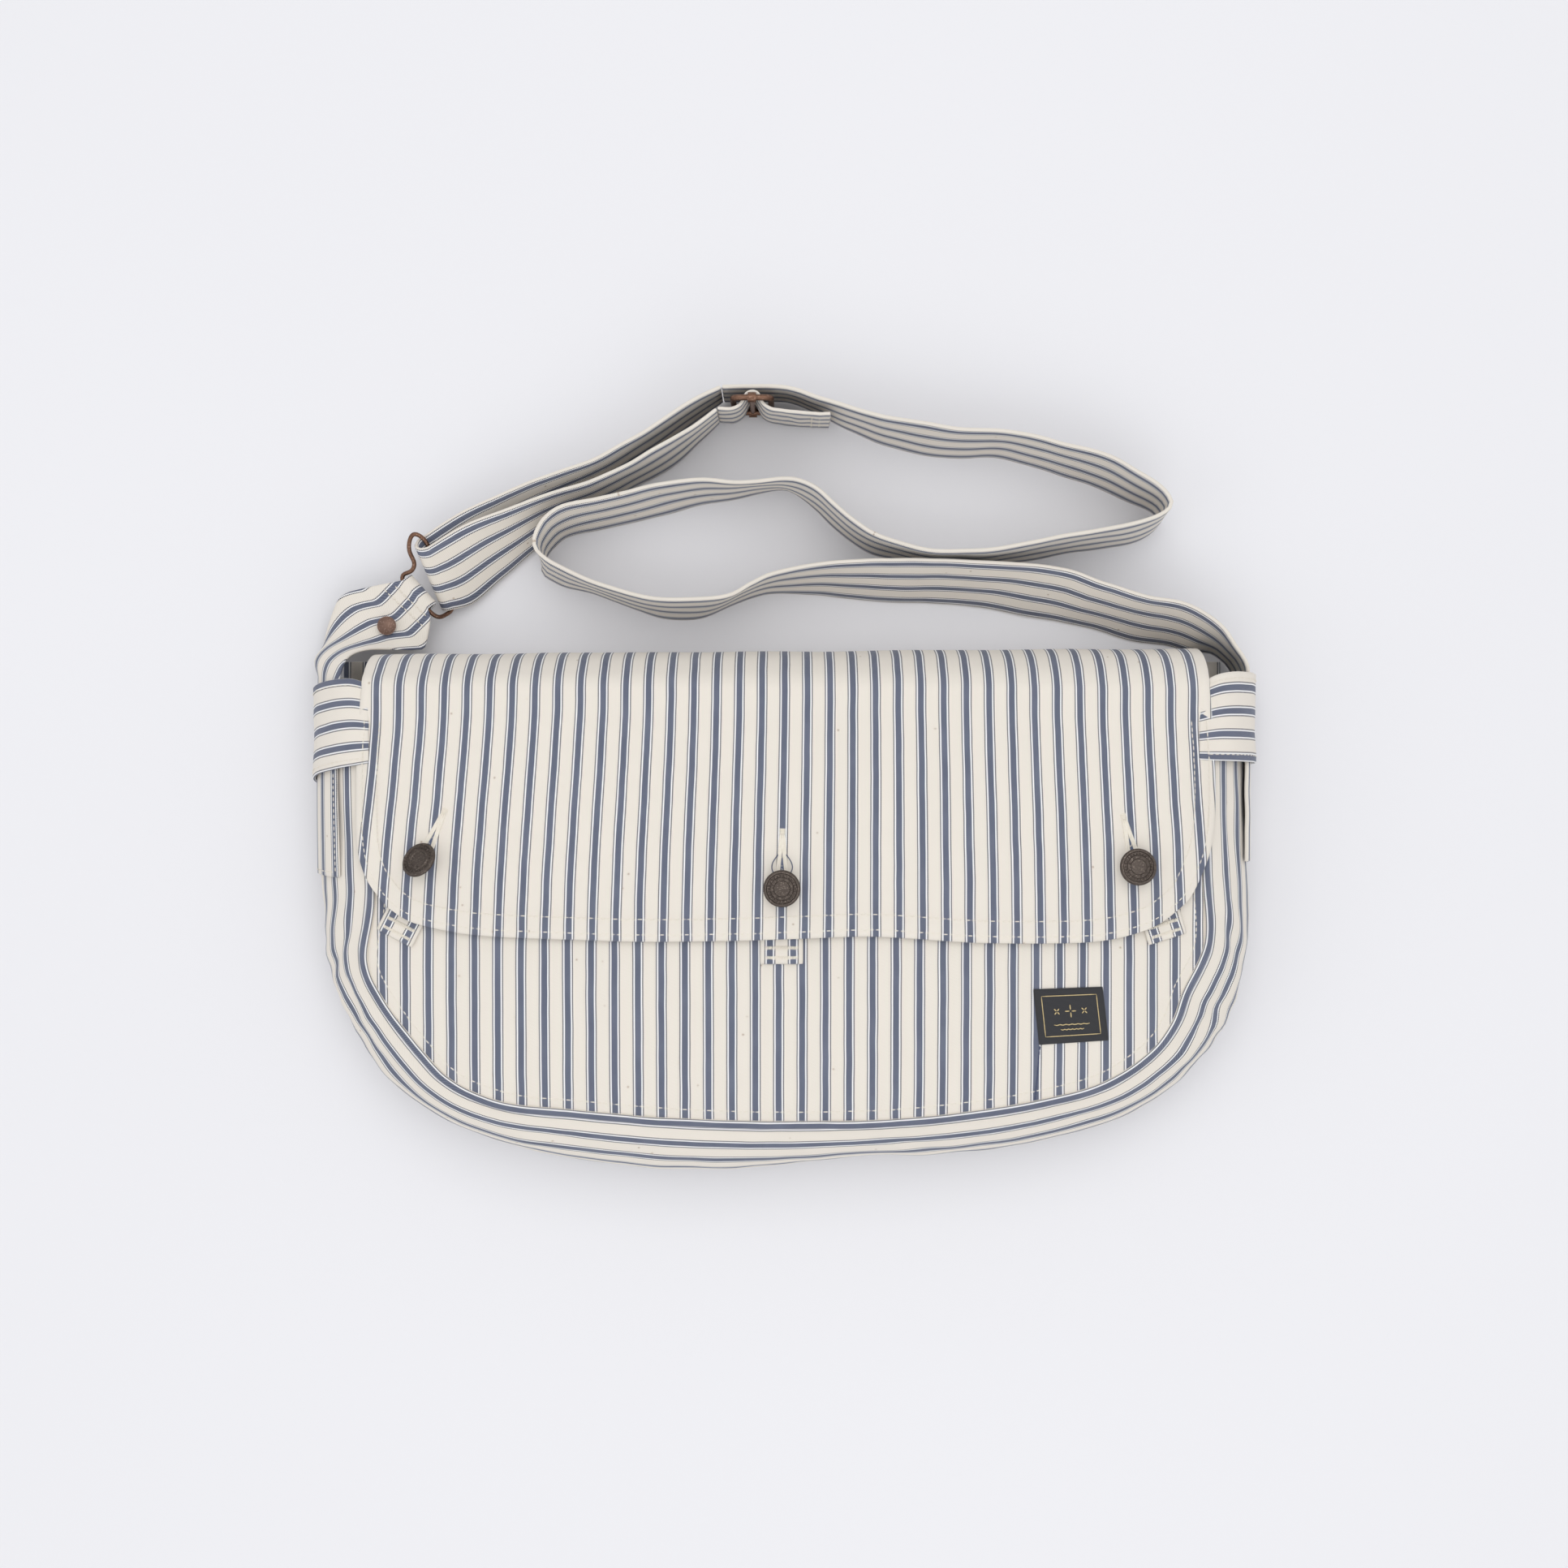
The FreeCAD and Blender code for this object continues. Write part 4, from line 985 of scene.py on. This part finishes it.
def strap_grid(low, high, rows, seed, cols=9):
    """Fine strap surface between two edges, with slack in the cloth."""
    bottom, top = through(low, rows), through(high, rows)
    grid = []
    for i in range(rows):
        row = []
        for j in range(cols):
            t = j / (cols - 1)
            row.append(bottom[i].lerp(top[i], t))
        grid.append(row)
    normal = grid_normals(grid)
    for i in range(rows):
        fade = smooth(i / 6) * smooth((rows - 1 - i) / 6)
        for j in range(cols):
            bow = 0.9 * math.sin(math.pi * j / (cols - 1)) * rough(i * 4.0, 0, 55, seed)
            ripple = 0.5 * rough(i * 4.0, j * 5.0, 21, seed + 4)
            grid[i][j] = grid[i][j] + normal[i][j] * ((bow + ripple) * fade)
    return grid


def strap_uv(grid, shift):
    look = bpy.context.scene.mail_sack
    repeat = look.stripe_repeat / MM
    run = measured_uv(grid)
    cols = len(grid[0])
    return [[(STRAP_W * j / (cols - 1) + shift * repeat, row[j][1]) for j in range(cols)] for row in run]


def build_strap():
    low = [(x, y - lean, 1.3) for x, y, lean in STRAP_PATH]
    high = [(x, y, 1.3 + math.sqrt(STRAP_W ** 2 - lean ** 2)) for x, y, lean in STRAP_PATH]
    grid = strap_grid(low, high, 330, 2.2)
    for row in grid:
        for k, p in enumerate(row):
            tuck = 4.3 * max(0.0, (p.z - 20) / 21) ** 2 * (1 - smooth((p.y - 110) / 16))
            if p.x > 225:
                row[k] = p - Vector((tuck, 0, 0))
    piece = cloth("shoulder_strap_cloth", grid, strap_uv(grid, 0.238), 1.9, "bag")
    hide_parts("strap_lower_run", "strap_left_turn", "strap_middle_run", "strap_right_turn",
                "strap_upper_run")
    declare(grid)
    outer = strap_grid(OUTER_LOW, OUTER_UP, 50, 6.1)
    inner = strap_grid(INNER_LOW, INNER_UP, 50, 8.3)
    up_a, low_a, up_b, low_b = outer[0][-1], outer[0][0], inner[0][-1], inner[0][0]
    wrap = []
    for k in range(1, 12):
        t = math.pi * k / 12
        bulge = Vector((-5.4, -2.1, 0.5)) * math.sin(t)
        one = low_a.lerp(low_b, (1 - math.cos(t)) / 2) + bulge
        two = up_a.lerp(up_b, (1 - math.cos(t)) / 2) + bulge
        wrap.append([one.lerp(two, j / 8) for j in range(9)])
    grid = list(reversed(outer)) + wrap + inner
    piece = cloth("strap_doubled_cloth", grid, strap_uv(grid, 0.238), 1.8, "bag")
    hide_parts("strap_outer_layer", "strap_inner_layer", "strap_loop_wrap")
    declare(grid)
    low = [(x, y, 3.4) for x, y in FREE_END]
    high = [(x, y, 43.2) for x, y in FREE_END]
    grid = strap_grid(low, high, 60, 12.0)
    piece = cloth("strap_free_end_cloth", grid, strap_uv(grid, 0.238), 1.6, "bag")
    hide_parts("strap_free_end")
    declare(grid)
    rows = []
    for x in (14.0, 18.0):
        rows.append([Vector((x, 248.7, z)) for z in (6, 14, 22, 30, 38)])
    stitches("strap_end_stitches", rows, "bag", 2.8, 2.1, 0.3)


def build_metal():
    """Dress the metal nodes and ring each button cap with beads."""
    for part in ("button_cap_", "button_shank_", "button_tack_"):
        for side in BUTTONS:
            dress(part + side, "button")
    for node in ("rivet_cap", "rivet_post", "rivet_burr"):
        dress(node, "rivet")
    for node in ("wire_loop", "slider_frame", "slider_bar"):
        dress(node, "copper")
    for name, (x, y, lean, heading, _, _) in BUTTONS.items():
        a, b = math.radians(lean), math.radians(heading)
        axis = Vector((math.sin(a) * math.cos(b), math.sin(a) * math.sin(b), math.cos(a)))
        foot = Vector((x, y, front_height(x, y) + 9.6))
        turn = Vector((0, 0, 1)).rotation_difference(axis).to_matrix()
        verts, faces = [], []
        for ring, count, radius, high in ((6.45, 26, 0.42, 2.15), (4.8, 9, 0.5, 2.62)):
            for k in range(count):
                t = 2 * math.pi * k / count
                middle = Vector((ring * math.cos(t), ring * math.sin(t), high))
                bead(middle, radius, turn, foot, verts, faces)
        add_piece("button_%s_beading" % name, verts, faces, None, finish("button"), "button_" + name)


def bead(middle, radius, turn, foot, verts, faces):
    """Low rounded bead."""
    base = len(verts)
    for ring, (share, rise) in enumerate(((1.0, -0.3), (1.0, 0.1), (0.7, 0.6), (0.25, 0.85))):
        for k in range(8):
            t = 2 * math.pi * k / 8
            p = middle + Vector((math.cos(t) * radius * share, math.sin(t) * radius * share, rise * radius))
            verts.append(foot + turn @ p)
    for ring in range(3):
        for k in range(8):
            n = (k + 1) % 8
            a = base + ring * 8
            faces.append((a + k, a + n, a + 8 + n, a + 8 + k))
    faces.append(tuple(base + 24 + k for k in range(8)))
    faces.append(tuple(base + k for k in reversed(range(8))))


def dress(node, finish_name):
    """Give a carried-over node its finish."""
    piece = bpy.data.objects[node]
    piece.data.materials.clear()
    piece.data.materials.append(finish(finish_name))


def build_stage():
    look = bpy.context.scene.mail_sack_stage
    scene = bpy.context.scene
    mesh = bpy.data.meshes.new("floor")
    half = 3.0
    corners = [(-half, -half, 0), (half, -half, 0), (half, half, 0), (-half, half, 0)]
    mesh.from_pydata(corners, [], [(0, 1, 2, 3)])
    mesh.materials.append(finish("floor"))
    floor = bpy.data.objects.new("floor", mesh)
    scene.collection.objects.link(floor)
    world = bpy.data.worlds.new("Studio")
    world.use_nodes = True
    back = world.node_tree.nodes["Background"]
    back.inputs[0].default_value = (0.95, 0.97, 1.0, 1.0)
    back.inputs[1].default_value = look.sky_strength
    scene.world = world
    for name, place, size, power in (("top_box", (0.1, 0.75, 1.9), 1.6, look.lamp_power),
                                     ("side_box", (-1.5, -0.4, 1.4), 1.2, look.lamp_power * 0.25),
                                     ("front_box", (0.3, -1.15, 1.45), 1.4, look.lamp_power * 0.5)):
        lamp = bpy.data.lights.new(name, "AREA")
        lamp.shape = "SQUARE"
        lamp.size = size
        lamp.energy = power
        thing = bpy.data.objects.new(name, lamp)
        thing.location = place
        way = Vector((0, 0.05, 0)) - Vector(place)
        thing.rotation_euler = way.to_track_quat("-Z", "Y").to_euler()
        scene.collection.objects.link(thing)
    camera = bpy.data.cameras.new("camera")
    camera.lens = 50
    camera.sensor_width = 36
    eye = bpy.data.objects.new("camera", camera)
    eye.location = (0.0, look.camera_forward, look.camera_height)
    scene.collection.objects.link(eye)
    scene.camera = eye
    scene.view_settings.view_transform = "Standard"
    scene.view_settings.look = "None"
    scene.view_settings.exposure = look.exposure


# --- add-on ----------------------------------------------------------------------
class MailSackSettings(bpy.types.PropertyGroup):
    stripe_repeat: FloatProperty(name="Stripe repeat", description="Distance from one stripe to the next",
                                 default=0.01135, min=0.004, max=0.04, unit="LENGTH")
    stripe_width: FloatProperty(name="Stripe width", description="Width of the indigo stripe",
                                default=0.0029, min=0.001, max=0.01, unit="LENGTH")
    cream: FloatVectorProperty(name="Cream", description="Natural cotton colour", subtype="COLOR",
                               default=(0.82, 0.765, 0.69), min=0, max=1)
    cream_shade: FloatVectorProperty(name="Cream shade", description="Cotton between the twill lines",
                                     subtype="COLOR", default=(0.74, 0.68, 0.60), min=0, max=1)
    white_yarn: FloatVectorProperty(name="White yarn", description="Bleached yarn beside the stripes",
                                    subtype="COLOR", default=(0.88, 0.88, 0.89), min=0, max=1)
    indigo: FloatVectorProperty(name="Indigo", description="Main stripe", subtype="COLOR",
                                default=(0.036, 0.043, 0.076), min=0, max=1)
    indigo_light: FloatVectorProperty(name="Faded indigo", description="Raised yarns of the main stripe",
                                      subtype="COLOR", default=(0.235, 0.255, 0.325), min=0, max=1)
    pin_stripe: FloatVectorProperty(name="Pin stripe", description="Dotted dark lines", subtype="COLOR",
                                    default=(0.035, 0.042, 0.075), min=0, max=1)


class MailSackStage(bpy.types.PropertyGroup):
    sky_strength: FloatProperty(name="Sky strength", description="Light from all round", default=0.80)
    lamp_power: FloatProperty(name="Lamp power", description="Main soft box", default=11.0, unit="POWER")
    camera_height: FloatProperty(name="Camera height", description="Above the floor", default=1.13,
                                 unit="LENGTH")
    camera_forward: FloatProperty(name="Camera forward", description="Towards the mouth", default=0.0645,
                                  unit="LENGTH")
    exposure: FloatProperty(name="Exposure", description="Picture brightness in stops", default=0.0)


class MAILSACK_OT_bag(bpy.types.Operator):
    """Add the bag's front, back, gusset, seams and side bands"""
    bl_idname = "mailsack.bag"
    bl_label = "Bag body"

    def execute(self, context):
        build_bag()
        return {"FINISHED"}


class MAILSACK_OT_front_details(bpy.types.Operator):
    """Add the button tabs, label, divider stitching and seam stitching"""
    bl_idname = "mailsack.front_details"
    bl_label = "Tabs and label"

    def execute(self, context):
        build_tabs_and_label()
        return {"FINISHED"}


class MAILSACK_OT_flap(bpy.types.Operator):
    """Add the flap with its hem stitching and buttonholes"""
    bl_idname = "mailsack.flap"
    bl_label = "Flap"

    def execute(self, context):
        build_flap()
        return {"FINISHED"}


class MAILSACK_OT_loop_tab(bpy.types.Operator):
    """Add the tab that holds the wire loop"""
    bl_idname = "mailsack.loop_tab"
    bl_label = "Loop tab"

    def execute(self, context):
        build_loop_tab()
        return {"FINISHED"}


class MAILSACK_OT_strap(bpy.types.Operator):
    """Add the folded shoulder strap"""
    bl_idname = "mailsack.strap"
    bl_label = "Shoulder strap"

    def execute(self, context):
        build_strap()
        return {"FINISHED"}


class MAILSACK_OT_metal(bpy.types.Operator):
    """Finish the buttons, rivet, wire loop and slider"""
    bl_idname = "mailsack.metal"
    bl_label = "Metal fittings"

    def execute(self, context):
        build_metal()
        return {"FINISHED"}


class MAILSACK_OT_stage(bpy.types.Operator):
    """Add the floor, lamps and camera"""
    bl_idname = "mailsack.stage"
    bl_label = "Stage"

    def execute(self, context):
        build_stage()
        return {"FINISHED"}


class MAILSACK_PT_panel(bpy.types.Panel):
    bl_idname = "MAILSACK_PT_panel"
    bl_label = "Mail Sack"
    bl_space_type = "VIEW_3D"
    bl_region_type = "UI"
    bl_category = "Mail Sack"

    def draw(self, context):
        layout = self.layout
        for settings in (context.scene.mail_sack, context.scene.mail_sack_stage):
            box = layout.box()
            for key in settings.__annotations__:
                box.prop(settings, key)
        for operator in OPERATORS:
            layout.operator(operator.bl_idname)


OPERATORS = (MAILSACK_OT_bag, MAILSACK_OT_front_details, MAILSACK_OT_flap, MAILSACK_OT_loop_tab,
             MAILSACK_OT_strap, MAILSACK_OT_metal, MAILSACK_OT_stage)
CLASSES = (MailSackSettings, MailSackStage) + OPERATORS + (MAILSACK_PT_panel,)


def register():
    for item in CLASSES:
        bpy.utils.register_class(item)
    bpy.types.Scene.mail_sack = PointerProperty(type=MailSackSettings)
    bpy.types.Scene.mail_sack_stage = PointerProperty(type=MailSackStage)


def unregister():
    del bpy.types.Scene.mail_sack_stage
    del bpy.types.Scene.mail_sack
    for item in reversed(CLASSES):
        bpy.utils.unregister_class(item)


def main():
    register()
    bpy.ops.mailsack.bag()
    bpy.ops.mailsack.front_details()
    bpy.ops.mailsack.flap()
    bpy.ops.mailsack.loop_tab()
    bpy.ops.mailsack.strap()
    bpy.ops.mailsack.metal()
    bpy.ops.mailsack.stage()


if __name__ == "__main__":
    main()
